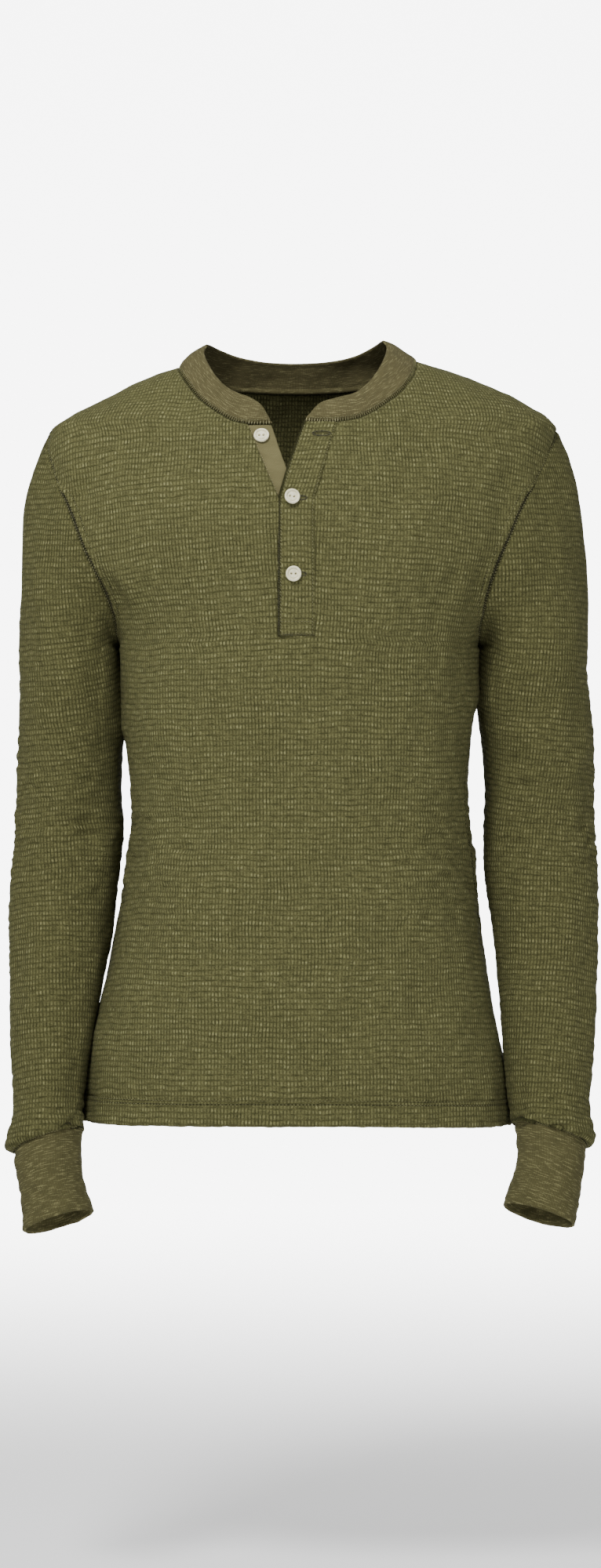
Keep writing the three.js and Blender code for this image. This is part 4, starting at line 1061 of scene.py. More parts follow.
def relief(name, p):
    """Outward shift in mm of a piece's cloth, apart from the folds."""
    d = from_edges(p)
    high = unevenness(p) + ripples(p) + (0 if name == "neckband" else pressed(p))
    if name in ("front", "back"):
        high = high - seam_dip(p, np.minimum(np.minimum(d["left"], d["right"]), d["top"]))
        beside = np.minimum(d["left"], d["right"])
        above = smooth((p[..., 2] - ARMHOLE_FOOT) / 12)
        raised = 0.5 * smooth((8.6 - beside) / 1.4) * smooth(beside / 2.5)
        high = high + above * (raised - dip(beside - TOPSTITCH, 0.35, 0.9))
        low = d["bottom"]
        hem = 0.75 * smooth((21 - low) / 1.4) - dip(low - HEM_LINES[1], 0.9, 0.9)
        hem = hem - dip(low - HEM_LINES[0], 0.7, 0.8)
        ridges = flicker(p * [1, 1, 0.3], 16, 8)
        high = high + hem + 0.5 * ridges * smooth((24 - low) / 9) * smooth(low / 3 + 0.4)
    elif name.startswith("sleeve"):
        inner = np.minimum(np.minimum(d["left"], d["right"]), d["top"])
        high = high - seam_dip(p, inner) * smooth(d["bottom"] / 3) - dip(d["bottom"], 0.8, 1.6)
    elif name.startswith("cuff"):
        side = np.minimum(d["left"], d["right"])
        high = high - dip(d["top"], 0.8, 1.6) - dip(side, 0.5, 1.4) * smooth(d["top"] / 3)
    else:
        high = high * smooth((d["top"]) / 10) - seam_dip(p, d["bottom"])
        high = high + 0.35 * smooth(d["bottom"] / 3) * smooth(d["top"] / 4)
    return high


smooth_places = [grids[n] for n in names]
for name in names:
    grids[name] = grids[name] + plain[name] * relief(name, grids[name])[..., None]
weights = [shares.get(n, 1) for n in names]
facing = dict(zip(names, shared_normals([grids[n] for n in names], weights, smooth_places)))


# materials: everything is drawn by nodes from the cloth coordinates, in millimetres
class Nodes:
    def __init__(self, name):
        self.material = bpy.data.materials.new(name)
        self.material.use_nodes = True
        self.tree = self.material.node_tree
        self.tree.nodes.clear()
        self.out = self.tree.nodes.new("ShaderNodeOutputMaterial")
        self.shader = self.tree.nodes.new("ShaderNodeBsdfPrincipled")
        self.link(self.shader.outputs[0], self.out.inputs["Surface"])

    def link(self, a, b):
        self.tree.links.new(a, b)

    def put(self, value, socket):
        if isinstance(value, (int, float)):
            socket.default_value = value
        elif isinstance(value, tuple):
            socket.default_value = (*value, 1.0) if len(value) == 3 and socket.type == "RGBA" else value
        else:
            self.link(value, socket)

    def math(self, operation, a, b=0.0, c=0.0):
        node = self.tree.nodes.new("ShaderNodeMath")
        node.operation = operation
        for socket, value in zip(node.inputs, (a, b, c)):
            self.put(value, socket)
        return node.outputs[0]

    def times(self, a, b):
        return self.math("MULTIPLY", a, b)

    def plus(self, a, b):
        return self.math("ADD", a, b)

    def minus(self, a, b):
        return self.math("SUBTRACT", a, b)

    def from_middle(self, value):
        """Distance from the middle of a cell, 0 to 0.5."""
        return self.math("ABSOLUTE", self.minus(self.math("FRACT", value), 0.5))

    def vector(self, x, y, z=0.0):
        node = self.tree.nodes.new("ShaderNodeCombineXYZ")
        for socket, value in zip(node.inputs, (x, y, z)):
            self.put(value, socket)
        return node.outputs[0]

    def cloth(self):
        node = self.tree.nodes.new("ShaderNodeUVMap")
        node.uv_map = "cloth"
        split = self.tree.nodes.new("ShaderNodeSeparateXYZ")
        self.link(node.outputs[0], split.inputs[0])
        return self.times(split.outputs[0], 1 / MM), self.times(split.outputs[1], 1 / MM)

    def noise(self, vector, scale, detail=2.0, roughness=0.5):
        node = self.tree.nodes.new("ShaderNodeTexNoise")
        self.link(vector, node.inputs["Vector"])
        node.inputs["Scale"].default_value = scale
        node.inputs["Detail"].default_value = detail
        node.inputs["Roughness"].default_value = roughness
        return node.outputs[0]

    def cloud(self, u, v, across, up, seed, detail=2.0, roughness=0.5):
        """Noise over the cloth, with that many lumps in a mm across and up."""
        place = self.vector(self.times(u, across), self.times(v, up), seed)
        return self.noise(place, 1.0, detail, roughness)

    def random(self, vector):
        node = self.tree.nodes.new("ShaderNodeTexWhiteNoise")
        node.noise_dimensions = "3D"
        self.link(vector, node.inputs["Vector"])
        return node.outputs[0]

    def mark(self, name):
        """The distance in mm from what the mark of that name stands for."""
        node = self.tree.nodes.new("ShaderNodeAttribute")
        node.attribute_name = name
        return self.minus(REACH, node.outputs[2])

    def seams(self, u, v, seed, strength=0.85):
        """Painted shade beside seams and stitch rows: how dark the cloth is there, knobbly along them."""
        knobs = self.cloud(u, v, 0.42, 0.42, seed)
        off = self.times(self.minus(knobs, 0.5), 3.2)
        from_stitches = self.plus(self.mark("stitched"), self.times(off, 0.12))
        seam = self.spread(self.plus(self.mark("seam"), off), 1.2, 3.8, strength, 0.0)
        rows = self.spread(from_stitches, 0.3, 1.2, strength, 0.0)
        return self.math("MAXIMUM", seam, rows)

    def spread(self, value, low, high, to_low=0.0, to_high=1.0):
        node = self.tree.nodes.new("ShaderNodeMapRange")
        node.interpolation_type = "SMOOTHSTEP"
        for socket, v in zip(node.inputs, (value, low, high, to_low, to_high)):
            self.put(v, socket)
        return node.outputs[0]

    def blend(self, factor, a, b):
        node = self.tree.nodes.new("ShaderNodeMix")
        node.data_type = "RGBA"
        self.put(factor, node.inputs[0])
        self.put(a, node.inputs[6])
        self.put(b, node.inputs[7])
        return node.outputs[2]

    def bump(self, height, distance, strength=1.0):
        node = self.tree.nodes.new("ShaderNodeBump")
        node.inputs["Strength"].default_value = strength
        node.inputs["Distance"].default_value = distance
        self.link(height, node.inputs["Height"])
        self.link(node.outputs[0], self.shader.inputs["Normal"])

    def finish(self, colour, roughness, sheen=0.0, sheen_colour=(1, 1, 1)):
        self.put(colour, self.shader.inputs["Base Color"])
        self.shader.inputs["Roughness"].default_value = roughness
        self.shader.inputs["Sheen Weight"].default_value = sheen
        self.shader.inputs["Sheen Roughness"].default_value = 0.6
        self.shader.inputs["Sheen Tint"].default_value = (*sheen_colour, 1)
        self.shader.inputs["Specular IOR Level"].default_value = 0.05
        return self.material


def linear(r, g, b):
    return tuple(((v / 255) / 12.92 if v <= 10 else ((v / 255 + 0.055) / 1.055) ** 2.4) for v in (r, g, b))


WAFFLE_WIDE, WAFFLE_TALL = 2.8, 4.5


def waffle(name, groove_shade, pad, fleck, seed):
    """Waffle knit: cells whose sides are darkened as painted shade, mottled pads, and pale flecks in short
    streaks that are partly slub yarn and partly painted highlight.
    """
    m = Nodes(name)
    u, v = m.cloth()

    def cloud(across, up, add, detail=2.0, roughness=0.5):
        return m.cloud(u, v, across, up, seed + add, detail, roughness)

    def shift(value, size):
        return m.times(m.minus(value, 0.5), size)

    wob = shift(cloud(0.45, 0.45, 3.0, 3.0), 1.1)
    sway = m.plus(shift(cloud(0.02, 0.02, 0.0), 6.0), shift(cloud(0.06, 0.05, 2.0), 2.6))
    lean = shift(cloud(0.016, 0.02, 1.0), 4.0)
    cu = m.math("DIVIDE", m.plus(m.plus(u, lean), wob), WAFFLE_WIDE)
    cv = m.math("DIVIDE", m.plus(m.plus(v, sway), wob), WAFFLE_TALL)
    iu, iv = m.math("FLOOR", cu), m.math("FLOOR", cv)
    du, dv = m.from_middle(cu), m.from_middle(cv)
    across = m.spread(dv, 0.22, 0.52)
    upright = m.spread(du, 0.1, 0.5)
    each = m.random(m.vector(iu, iv, seed))
    grain = cloud(0.8, 0.75, 7.0, 4.0, 0.85)
    fuzz = m.spread(grain, 0.36, 0.64)
    patches = cloud(0.018, 0.022, 4.0)
    uneven = cloud(0.16, 0.2, 6.0)
    heather = m.spread(cloud(0.11, 0.3, 8.0, 4.0, 0.7), 0.35, 0.65)
    streak = m.cloud(u, iv, 0.09, 0.9, seed + 5.0, 1.0)
    down = m.times(m.spread(uneven, 0.3, 0.66, 0.3, 0.65), m.spread(patches, 0.36, 0.64, 1.0, 0.8))
    beside = m.spread(m.plus(each, uneven), 0.5, 1.5, 0.45, 0.75)
    beside = m.times(beside, m.spread(patches, 0.36, 0.64, 0.75, 1.0))
    # painted shade: the sides of the cells are darkened towards the groove colour
    dark = m.math("MAXIMUM", m.times(across, down), m.times(upright, beside))
    dome = m.times(m.minus(1.0, across), m.minus(1.0, upright))
    # pale flecks kept to the middle of each cell's dome: partly slub yarn and partly painted highlight
    light = m.times(m.spread(each, 0.1, 0.9, 0.2, 0.85), m.spread(streak, 0.45, 0.65, 0.15, 1.0))
    lit = m.minus(1.0, m.spread(dv, 0.08, 0.36))
    light = m.times(m.times(light, m.spread(grain, 0.3, 0.55)), m.times(dome, lit))
    shade = m.plus(m.times(fuzz, 0.5), m.times(heather, 0.35))
    shade = m.plus(shade, m.times(each, 0.15))
    body = m.blend(shade, tuple(0.5 * c for c in pad), tuple(1.55 * c for c in pad))
    colour = m.blend(light, body, fleck)
    # painted shade: the cells' sides and the cloth beside seams and stitch rows take the groove colour
    colour = m.blend(m.math("MAXIMUM", dark, m.seams(u, v, seed + 11.0)), colour, groove_shade)
    height = m.plus(m.times(dome, 0.6), m.times(grain, 1.2))
    m.bump(height, 0.0008, 0.9)
    return m.finish(colour, 0.97, 0.02, (0.7, 0.7, 0.5))


def rib(name, groove_shade, pad, fleck, pitch, seed, slub=0.5, deep=0.00025):
    """Smooth knit: fine upright ribs, the grooves between them darkened as painted shade, with pale slubs
    along the courses.
    """
    m = Nodes(name)
    u, v = m.cloth()
    grain = m.cloud(u, v, 1.9, 1.1, seed, 3.0, 0.6)
    wob = m.times(m.minus(grain, 0.5), 0.5)
    line = m.spread(m.from_middle(m.math("DIVIDE", m.plus(u, wob), pitch)), 0.2, 0.5)
    course = m.cloud(u, m.plus(v, m.times(u, 0.05)), 0.11, 1.0, seed + 2.0, 2.0, 0.6)
    cloudy = m.cloud(u, v, 0.06, 0.09, seed + 4.0)
    shade = m.plus(m.times(grain, 0.45), m.times(cloudy, 0.55))
    body = m.blend(m.spread(shade, 0.3, 0.7), tuple(0.86 * c for c in pad), tuple(1.12 * c for c in pad))
    pale = m.times(m.spread(course, 0.52, 0.64), slub)
    colour = m.blend(m.times(pale, m.spread(grain, 0.3, 0.6)), body, fleck)
    # painted shade in the grooves between ribs and beside the seams, in the groove colour
    dark = m.math("MAXIMUM", m.times(line, 0.5), m.seams(u, v, seed + 11.0, 0.38))
    colour = m.blend(dark, colour, groove_shade)
    height = m.plus(m.minus(1.0, line), m.times(grain, 0.6))
    m.bump(height, deep, 0.6)
    return m.finish(colour, 0.95, 0.02, (0.7, 0.7, 0.5))


def thread(name, colour, dark):
    m = Nodes(name)
    place = m.tree.nodes.new("ShaderNodeTexCoord").outputs["Object"]
    mottled = m.noise(place, 900.0, 2.0)
    return m.finish(m.blend(m.spread(mottled, 0.35, 0.65), dark, colour), 0.85, 0.1)


def shell_white(name):
    m = Nodes(name)
    place = m.tree.nodes.new("ShaderNodeTexCoord").outputs["Object"]
    cloudy = m.noise(place, 260.0, 3.0, 0.6)
    specks = m.noise(place, 1400.0, 2.0)
    tone = m.plus(m.times(cloudy, 0.8), m.times(specks, 0.2))
    colour = m.blend(m.spread(tone, 0.35, 0.65), linear(214, 209, 176), linear(233, 228, 196))
    m.bump(specks, 0.00005, 0.3)
    m.finish(colour, 0.42)
    m.shader.inputs["Specular IOR Level"].default_value = 0.4
    return m.material


# the groove, pad and fleck colours of each cloth; the groove colour is painted shade in the knit's hollows
# and beside seams
BODY_CLOTH = (linear(27, 28, 11), linear(94, 93, 60), linear(139, 138, 96))
# the sleeves' waffle: a darker copy of the body's, the difference being painted shade
SHADED_SLEEVE_CLOTH = (linear(25, 26, 10), linear(89, 88, 56), linear(132, 130, 90))
body_knit = waffle("waffle_body", *BODY_CLOTH, 1.0)
sleeve_knit = waffle("waffle_sleeve", *SHADED_SLEEVE_CLOTH, 21.0)
strip_knit = waffle("waffle_placket", *BODY_CLOTH, 41.0)
BAND_CLOTH = (linear(42, 40, 22), linear(84, 79, 54), linear(136, 131, 94))
CUFF_CLOTH = (linear(34, 32, 16), linear(78, 75, 49), linear(130, 126, 88))
FACING_CLOTH = (linear(84, 79, 52), linear(102, 97, 68), linear(122, 117, 84))
band_knit = rib("rib_neck", *BAND_CLOTH, 1.25, 3.0, 0.7)
cuff_knit = rib("rib_cuff", *CUFF_CLOTH, 1.3, 13.0, 0.8)
facing_knit = rib("jersey_facing", *FACING_CLOTH, 0.95, 23.0, 0.3, 0.00012)
olive_thread = thread("thread_olive", linear(124, 122, 82), linear(86, 84, 53))
pale_thread = thread("thread_pale", linear(150, 146, 106), linear(104, 101, 66))
dark_thread = thread("thread_dark", linear(72, 70, 40), linear(40, 39, 19))
button_stuff = shell_white("button_white")

# flat cuts and cloth coordinates
coarse_slot = np.ones((len(BODY_ROWS) + HALF_STEPS, 2 * (NECK_STEPS + SHOULDER_STEPS) + SLOT_STEPS), bool)
coarse_slot[len(BODY_ROWS):, NECK_STEPS + SHOULDER_STEPS : NECK_STEPS + SHOULDER_STEPS + SLOT_STEPS] = False
has_front = np.ones((grids["front"].shape[0] - 1, grids["front"].shape[1] - 1), bool)
has_front[SLOT_ROW:, SLOT_FIRST:SLOT_LAST] = False
cuts, places = {}, {}
for name in ("front", "back", "sleeve_right", "sleeve_left"):
    has = coarse_slot if name == "front" else None
    high, wide = grids[name].shape[:2]
    cols = np.arange(0, wide, K)
    if name in ("front", "back"):
        low_rows = np.linspace(0, len(BODY_Z) - 1, len(BODY_ROWS)).round().astype(int)
        rows = np.r_[low_rows, np.arange(SLOT_ROW, high, K)]
        upright = ((0, len(cols) // 2), (14, len(cols) // 2))
    else:
        rows, upright = np.linspace(0, high - 1, 25).round().astype(int), None
    places[name], area, (width, length) = cloth_places(grids[name], rows, cols, has, upright)
    cuts[name] = (width * MM, length * MM, area * MM * MM)


def arc_places(p):
    """Cloth coordinates of a band: along its middle row, and up from its first row."""
    up = ramp(gaps(p, 0).T).T
    return np.stack([np.broadcast_to(run_of(p[len(p) // 2]), up.shape), up], -1)


def band_cut(p, uv):
    """The flat width, length and area in metres of a narrow piece."""
    width, length = np.nanmax(uv, (0, 1))
    area = (gaps(p, 1)[:-1] * gaps(p, 0)[:, :-1]).sum()
    return width * MM, length * MM, min(area, width * length) * MM * MM


for name in ("cuff_right", "cuff_left", "neckband"):
    places[name] = arc_places(grids[name])
    cuts[name] = band_cut(grids[name], places[name])

SEAMS = {
    "front": ("left", "right", "top"), "back": ("left", "right", "top"),
    "sleeve_right": ("top", "bottom"), "sleeve_left": ("top", "bottom"),
    "cuff_right": ("top",), "cuff_left": ("top",), "neckband": ("bottom",),
}
KNITS = {
    "front": body_knit, "back": body_knit, "sleeve_right": sleeve_knit, "sleeve_left": sleeve_knit,
    "cuff_right": cuff_knit, "cuff_left": cuff_knit, "neckband": band_knit,
}
for name in names:
    p, n = grids[name], facing[name]
    closed = name.startswith(("sleeve", "cuff"))
    low = from_edges(p)["bottom"]
    if name in ("front", "back"):
        thick = mix(1.7, 3.0, smooth((21.5 - low) / 1.6))
    else:
        thick = {"neckband": 2.0, "cuff_right": 2.1, "cuff_left": 2.1}.get(name, 1.7) + 0 * low
    rounded = ("bottom",) if name in ("front", "back", "cuff_right", "cuff_left") else ()
    rounded = ("top", "left", "right") if name == "neckband" else rounded
    shell(
        name + "_cloth", tucked(p, SEAMS[name], closed), n, thick, places[name], KNITS[name],
        closed, has_front if name == "front" else None, rounded, seam_marks(name, p),
    )
    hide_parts(name)

# the placket
UPPER_ROWS = [-233.6, -222, -205, -188, -171, -154, -138, -122, -110, -98, -85, -72, -57]
LOWER_ROWS = [-238, -222, -205, -188, -171, -154, -138, -122, -110, -98, -85, -72, -58.2]
UPPER_RAISE, UPPER_THICK, LOWER_RAISE, LOWER_THICK = 1.0, 2.7, -2.35, 1.5


def finish_strip(name, p, thick, material, node, quilt):
    n = normals(p)
    d = from_edges(p)
    edge = np.minimum(np.minimum(d["left"], d["right"]), np.minimum(d["bottom"], d["top"]))
    flush = 0.95 * smooth(1 - d["right"] / 3.2) if node == "placket_upper" else 0
    p = p + n * (quilt * (smooth(edge / 3.5) - 0.6) + 0.12 * flicker(p, 14, 31) - flush)[..., None]
    n = normals(p)
    uv = np.stack([d["right" if node == "placket_upper" else "left"], d["bottom"]], -1)
    rows = np.minimum(np.abs(d["bottom"] - 2), np.abs(d["bottom"] - 11.8))
    rows = np.minimum(rows, np.abs(d["right"] - 2.2)) if node == "placket_upper" else REACH + 0 * rows
    rows = np.where((d["bottom"] < 11.8) | (d["right"] < 5), rows, REACH)
    # marks for the painted shade along the strip's left edge and beside its stitch rows
    marks = {"seam": np.maximum(0, REACH - d["left"] - 0.9), "stitched": np.maximum(0, REACH - rows - 0.45)}
    marks = marks if node == "placket_upper" else None
    obj = shell(name, p, n, thick, uv, material, rounded=("left", "right", "top", "bottom"), marks=marks)
    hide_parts(node)
    cuts[node] = band_cut(p, uv)


finish_strip(
    "placket_upper_cloth", strip("upper", "slot_left", (0.1, 0.1), UPPER_ROWS, UPPER_RAISE), UPPER_THICK,
    strip_knit, "placket_upper", 0.35,
)
finish_strip(
    "placket_lower_cloth", strip("slot_right", "lower", (-1.6, 0), LOWER_ROWS, LOWER_RAISE), LOWER_THICK,
    facing_knit, "placket_lower", 0.15,
)


# thread
def stitches(name, parts, material):
    verts, faces = joined(parts)
    obj = add_object(name, verts, faces, None, material)
    return obj


def on_cloth(points, raised):
    """Points and normals on the front's surface for rows of (x, z)."""
    points = np.asarray(points, float)
    return lifted(points[:, 0], points[:, 1], raised)


def dense(*corners, step=1.0):
    out = []
    for a, b in zip(corners[:-1], corners[1:]):
        a, b = np.array(a, float), np.array(b, float)
        count = max(2, int(np.linalg.norm(b - a) / step))
        out.append(a + (b - a) * np.linspace(0, 1, count, endpoint=False)[:, None])
    return np.vstack(out + [np.array([corners[-1]], float)])


# rows beside the armholes: distance from the edge, lean, length, radius, seed and unevenness
BESIDE_ARMHOLE = ((TOPSTITCH, 0.1, 0.36, 0.26, 4, 0.1), (1.9, 0.9, 0.46, 0.4, 9, 0.4))
sewn, knots = {}, {}
for name in ("front", "back"):
    p, n = grids[name], facing[name]
    knots[name] = []
    parts = [
        stitch_row(*line_at(p, n, HEM_LINES[1], "bottom"), 3.0, seed=2),
        stitch_row(*line_at(p, n, HEM_LINES[0], "bottom"), 3.0, seed=3),
    ]
    for edge in ("left", "right"):
        for offset, lean, size, radius, seed, wild in BESIDE_ARMHOLE:
            line, up = line_at(p, n, offset, edge, SLOT_ROW)
            parts.append(stitch_row(line, up, 2.4, size, radius, lean, seed, wild=wild))
        line, up = line_at(p, n, 0.3, edge, SLOT_ROW)
        knots[name].append(stitch_row(line + up * 0.45, up, 1.9, 0.62, 0.5, 0.7, 10, wild=0.45))
        parts.append(stitch_row(*line_at(p, n, 1.3, edge, 0, SLOT_ROW), 3.2, 0.34, 0.24, 0.3, 6))
    top = p.shape[1] - 1
    tops = SHOULDER_STEPS * K
    for first, last in ((0, tops), (top - tops, top + 1)):
        for offset in (1.4, 3.6):
            parts.append(stitch_row(*line_at(p, n, offset, "top", first, last), 2.7, 0.36, 0.28, 0.2, 7))
    neck = [(tops, top - tops + 1)]
    if name == "front":
        neck = [(tops, SLOT_FIRST + 1), (SLOT_LAST, top - tops + 1)]
    for first, last in neck:
        parts.append(stitch_row(*line_at(p, n, 3.6, "top", first, last), 2.3, 0.42, 0.32, 0.3, 8))
    sewn[name] = parts
for name in ("sleeve_right", "sleeve_left"):
    p, n = grids[name], facing[name]
    parts = [stitch_row(*line_at(p, n, 1.4, "top"), 2.5, 0.4, 0.34, -0.4, 12)]
    parts.append(stitch_row(*line_at(p, n, 2.2, "bottom"), 2.4, 0.4, 0.3, 0.5, 13))
    parts.append(stitch_row(*line_at(p, n, 1.2, "left"), 3.2, 0.34, 0.24, 0.3, 14))
    sewn[name] = parts
for name in ("cuff_right", "cuff_left"):
    p, n = grids[name], facing[name]
    sewn[name] = [stitch_row(*line_at(p, n, 1.6, "top"), 2.4, 0.4, 0.3, -0.5, 15)]
thread_objects = {
    name: stitches(
        "stitches_" + name, parts, olive_thread,
    )
    for name, parts in sewn.items()
}
knot_objects = {
    name: stitches("seam_" + name, parts, dark_thread) for name, parts in knots.items()
}
band_p, band_n = grids["neckband"], facing["neckband"]
ends = band_p.shape[1] - 2 * K


def seam_bars(first, last, radius, seed):
    """Bars of thread across the neck seam."""
    line, up = line_at(band_p, band_n, 0.5, "bottom", first, last)
    return stitch_row(line + up * 0.75, up, 2.15, 0.95, radius, 1.5, seed)


pale = [seam_bars(0, 2 * K + 1, 0.4, 16), seam_bars(ends - 1, None, 0.4, 17)]
thread_objects["neckband"] = stitches("stitches_neckband", [
    seam_bars(2 * K, ends, 0.34, 18),
    stitch_row(*line_at(band_p, band_n, 2.9, "bottom"), 2.3, 0.42, 0.28, 0.2, 19),
], olive_thread)
band_ends = stitches("stitches_neckband_ends", pale, pale_thread)


def slot_left(z, inset):
    return float(read(PLACKET, "slot_left", z)) - inset, z


def upper_edge(z, inset):
    return float(read(PLACKET, "upper", z)) + inset, z


def lower_line(z):
    return float(read(PLACKET, "slot_right", z)) + 0.4, z


UP = UPPER_RAISE + 0.1
box = dense(slot_left(-60, 2.2), slot_left(-90, 2.2), slot_left(-122, 2.2), slot_left(-231.5, 2.2))
parts = [stitch_row(*on_cloth(box, UP), 2.6, 0.38, 0.26, 0.1, 21)]
bottom = dense(slot_left(-231.8, 2.2), upper_edge(-231.8, 1.8))
parts.append(stitch_row(*on_cloth(bottom, UP), 2.4, 0.4, 0.28, 0.2, 22))
above_bottom = dense(slot_left(-222, 2.2), upper_edge(-222, 1.8))
parts.append(stitch_row(*on_cloth(above_bottom, UP), 2.4, 0.4, 0.28, 0.2, 23))
left_edge = dense(upper_edge(-60, 1.6), upper_edge(-90, 1.6), upper_edge(-122, 1.6), upper_edge(-231, 1.6))
parts.append(stitch_row(*on_cloth(left_edge, UP), 2.6, 0.4, 0.3, 0.5, 24))
placket_thread = stitches("stitches_placket", parts, olive_thread)
knotted = dense(upper_edge(-124, 0.1), upper_edge(-150, 0.1), upper_edge(-233, 0.1), slot_left(-233, 0.6))
placket_knots = stitches(
    "seam_placket", [stitch_row(*on_cloth(knotted, UP - 0.4), 1.9, 0.6, 0.42, 0.6, 26, wild=0.4)],
    dark_thread,
)
lower_edge = dense(lower_line(-60), lower_line(-90), lower_line(-118))
lower_thread = stitches(
    "stitches_placket_lower",
    [stitch_row(*on_cloth(lower_edge, LOWER_RAISE + 1.9), 2.4, 0.38, 0.24, 0.1, 25)],
    pale_thread,
)


def buttonhole(x, z, half, raised, open_by, seed):
    """A worked buttonhole: a ring of satin stitches, standing up from its slit."""
    turn = np.linspace(0, 2 * np.pi, 120)
    flat = half * np.sign(np.cos(turn)) * np.abs(np.cos(turn)) ** 0.7
    line = np.stack([x + flat, z + (open_by + 0.9) * np.sin(turn)], 1)
    pts, nos = on_cloth(line, raised)
    return stitch_row(pts, nos, 0.62, 1.3, 0.36, 1.5, seed, sunk=0.05)


holes = stitches("buttonhole_top", [buttonhole(19.1, -67.5, 7.3, UP, 1.0, 31)], dark_thread)
lower_holes = stitches(
    "buttonholes_fastened",
    [buttonhole(0.5, -121.4, 6.8, UP, 0.7, 32), buttonhole(1.0, -183.6, 5.6, UP, 0.7, 33)],
    dark_thread,
)
# the open slit of the top buttonhole: a thin dark sheet in the dark thread's colour, painted shade for the
# inside of the slit
slit = dense((13.0, -67.5), (25.2, -67.5), step=0.6)
width = 0.8 * np.sin(np.linspace(0, np.pi, len(slit))) ** 0.6 + 0.05
rows = np.linspace(-1, 1, 7)
slit_x = np.broadcast_to(slit[:, 0], (7, len(slit)))
slit_z = slit[:, 1] + rows[:, None] * width
slit_p = lifted(slit_x, slit_z, UP + 0.25 - 0.3 * (1 - rows[:, None, None] ** 2))[0]
slit_uv = np.stack([slit_x, slit_z], -1)
slit_shadow = shell("buttonhole_slit_shadow", slit_p, normals(slit_p), 0.4, slit_uv, dark_thread)


# buttons
def button_mesh():
    radius, hole = BUTTON_DIAMETER / 2, 0.95
    spokes, rings = 84, 34
    out = np.linspace(0, 1, rings + 1)[1:] * radius
    turn = np.linspace(0, 2 * np.pi, spokes, endpoint=False)
    x, y = out[:, None] * np.cos(turn), out[:, None] * np.sin(turn)
    r = out[:, None] + 0 * x
    face = 1.85 + 0.75 * smooth((r / radius - 0.66) / 0.14) - 0.75 * smooth((r / radius - 0.88) / 0.14) ** 2
    face = face - 0.6 * np.exp(-((r / radius - 0.64) / 0.07) ** 2)
    for cx in (-HOLE_APART, HOLE_APART):
        face = face - 1.5 * smooth((hole + 0.2 - np.hypot(x - cx, y)) / 0.45)
    top = np.stack([x, y, face], -1).reshape(-1, 3)
    side = [
        np.stack([part * radius * np.cos(turn), part * radius * np.sin(turn), height + 0 * turn], 1)
        for part, height in ((1.0, 1.1), (0.98, 0.5), (0.86, 0.1))
    ]
    verts = np.vstack([[[0, 0, face[0].mean()]], top, *side, [[0, 0, 0.0]]])
    faces = []
    for i in range(rings - 1 + len(side)):
        a = 1 + i * spokes + np.arange(spokes)
        b = 1 + i * spokes + (np.arange(spokes) + 1) % spokes
        faces.append(np.stack([a, a + spokes, b + spokes, b], 1))
    quads = np.vstack(faces)
    tris = [quads[:, [0, 1, 2]], quads[:, [0, 2, 3]]]
    a, b = 1 + np.arange(spokes), 1 + (np.arange(spokes) + 1) % spokes
    tris.append(np.stack([0 * a, a, b], 1))
    last = 1 + (rings - 1 + len(side)) * spokes
    tris.append(np.stack([0 * a + len(verts) - 1, last + (b - 1), last + (a - 1)], 1))
    return verts, np.vstack(tris)


def tube(path, radius, sides=8):
    """A thread along a path, with rounded ends."""
    path = np.asarray(path, float)
    ahead = unit(np.gradient(path, axis=0))
    side = unit(np.cross(ahead, [0.03, 1.0, 0.02]))
    up = np.cross(side, ahead)
    turn = np.linspace(0, 2 * np.pi, sides, endpoint=False)
    fat = radius * np.r_[0.3, np.ones(len(path) - 2), 0.3]
    around_path = side[:, None] * np.cos(turn)[:, None] + up[:, None] * np.sin(turn)[:, None]
    ringed = path[:, None] + fat[:, None, None] * around_path
    faces = []
    for i in range(len(path) - 1):
        a = i * sides + np.arange(sides)
        b = i * sides + (np.arange(sides) + 1) % sides
        faces += [np.stack([a, b, b + sides], 1), np.stack([a, b + sides, a + sides], 1)]
    ends = [np.array([[0, k + 1, k] for k in range(1, sides - 1)])]
    last = (len(path) - 1) * sides
    ends.append(np.array([[last, last + k, last + k + 1] for k in range(1, sides - 1)]))
    return ringed.reshape(-1, 3), np.vstack(faces + ends)


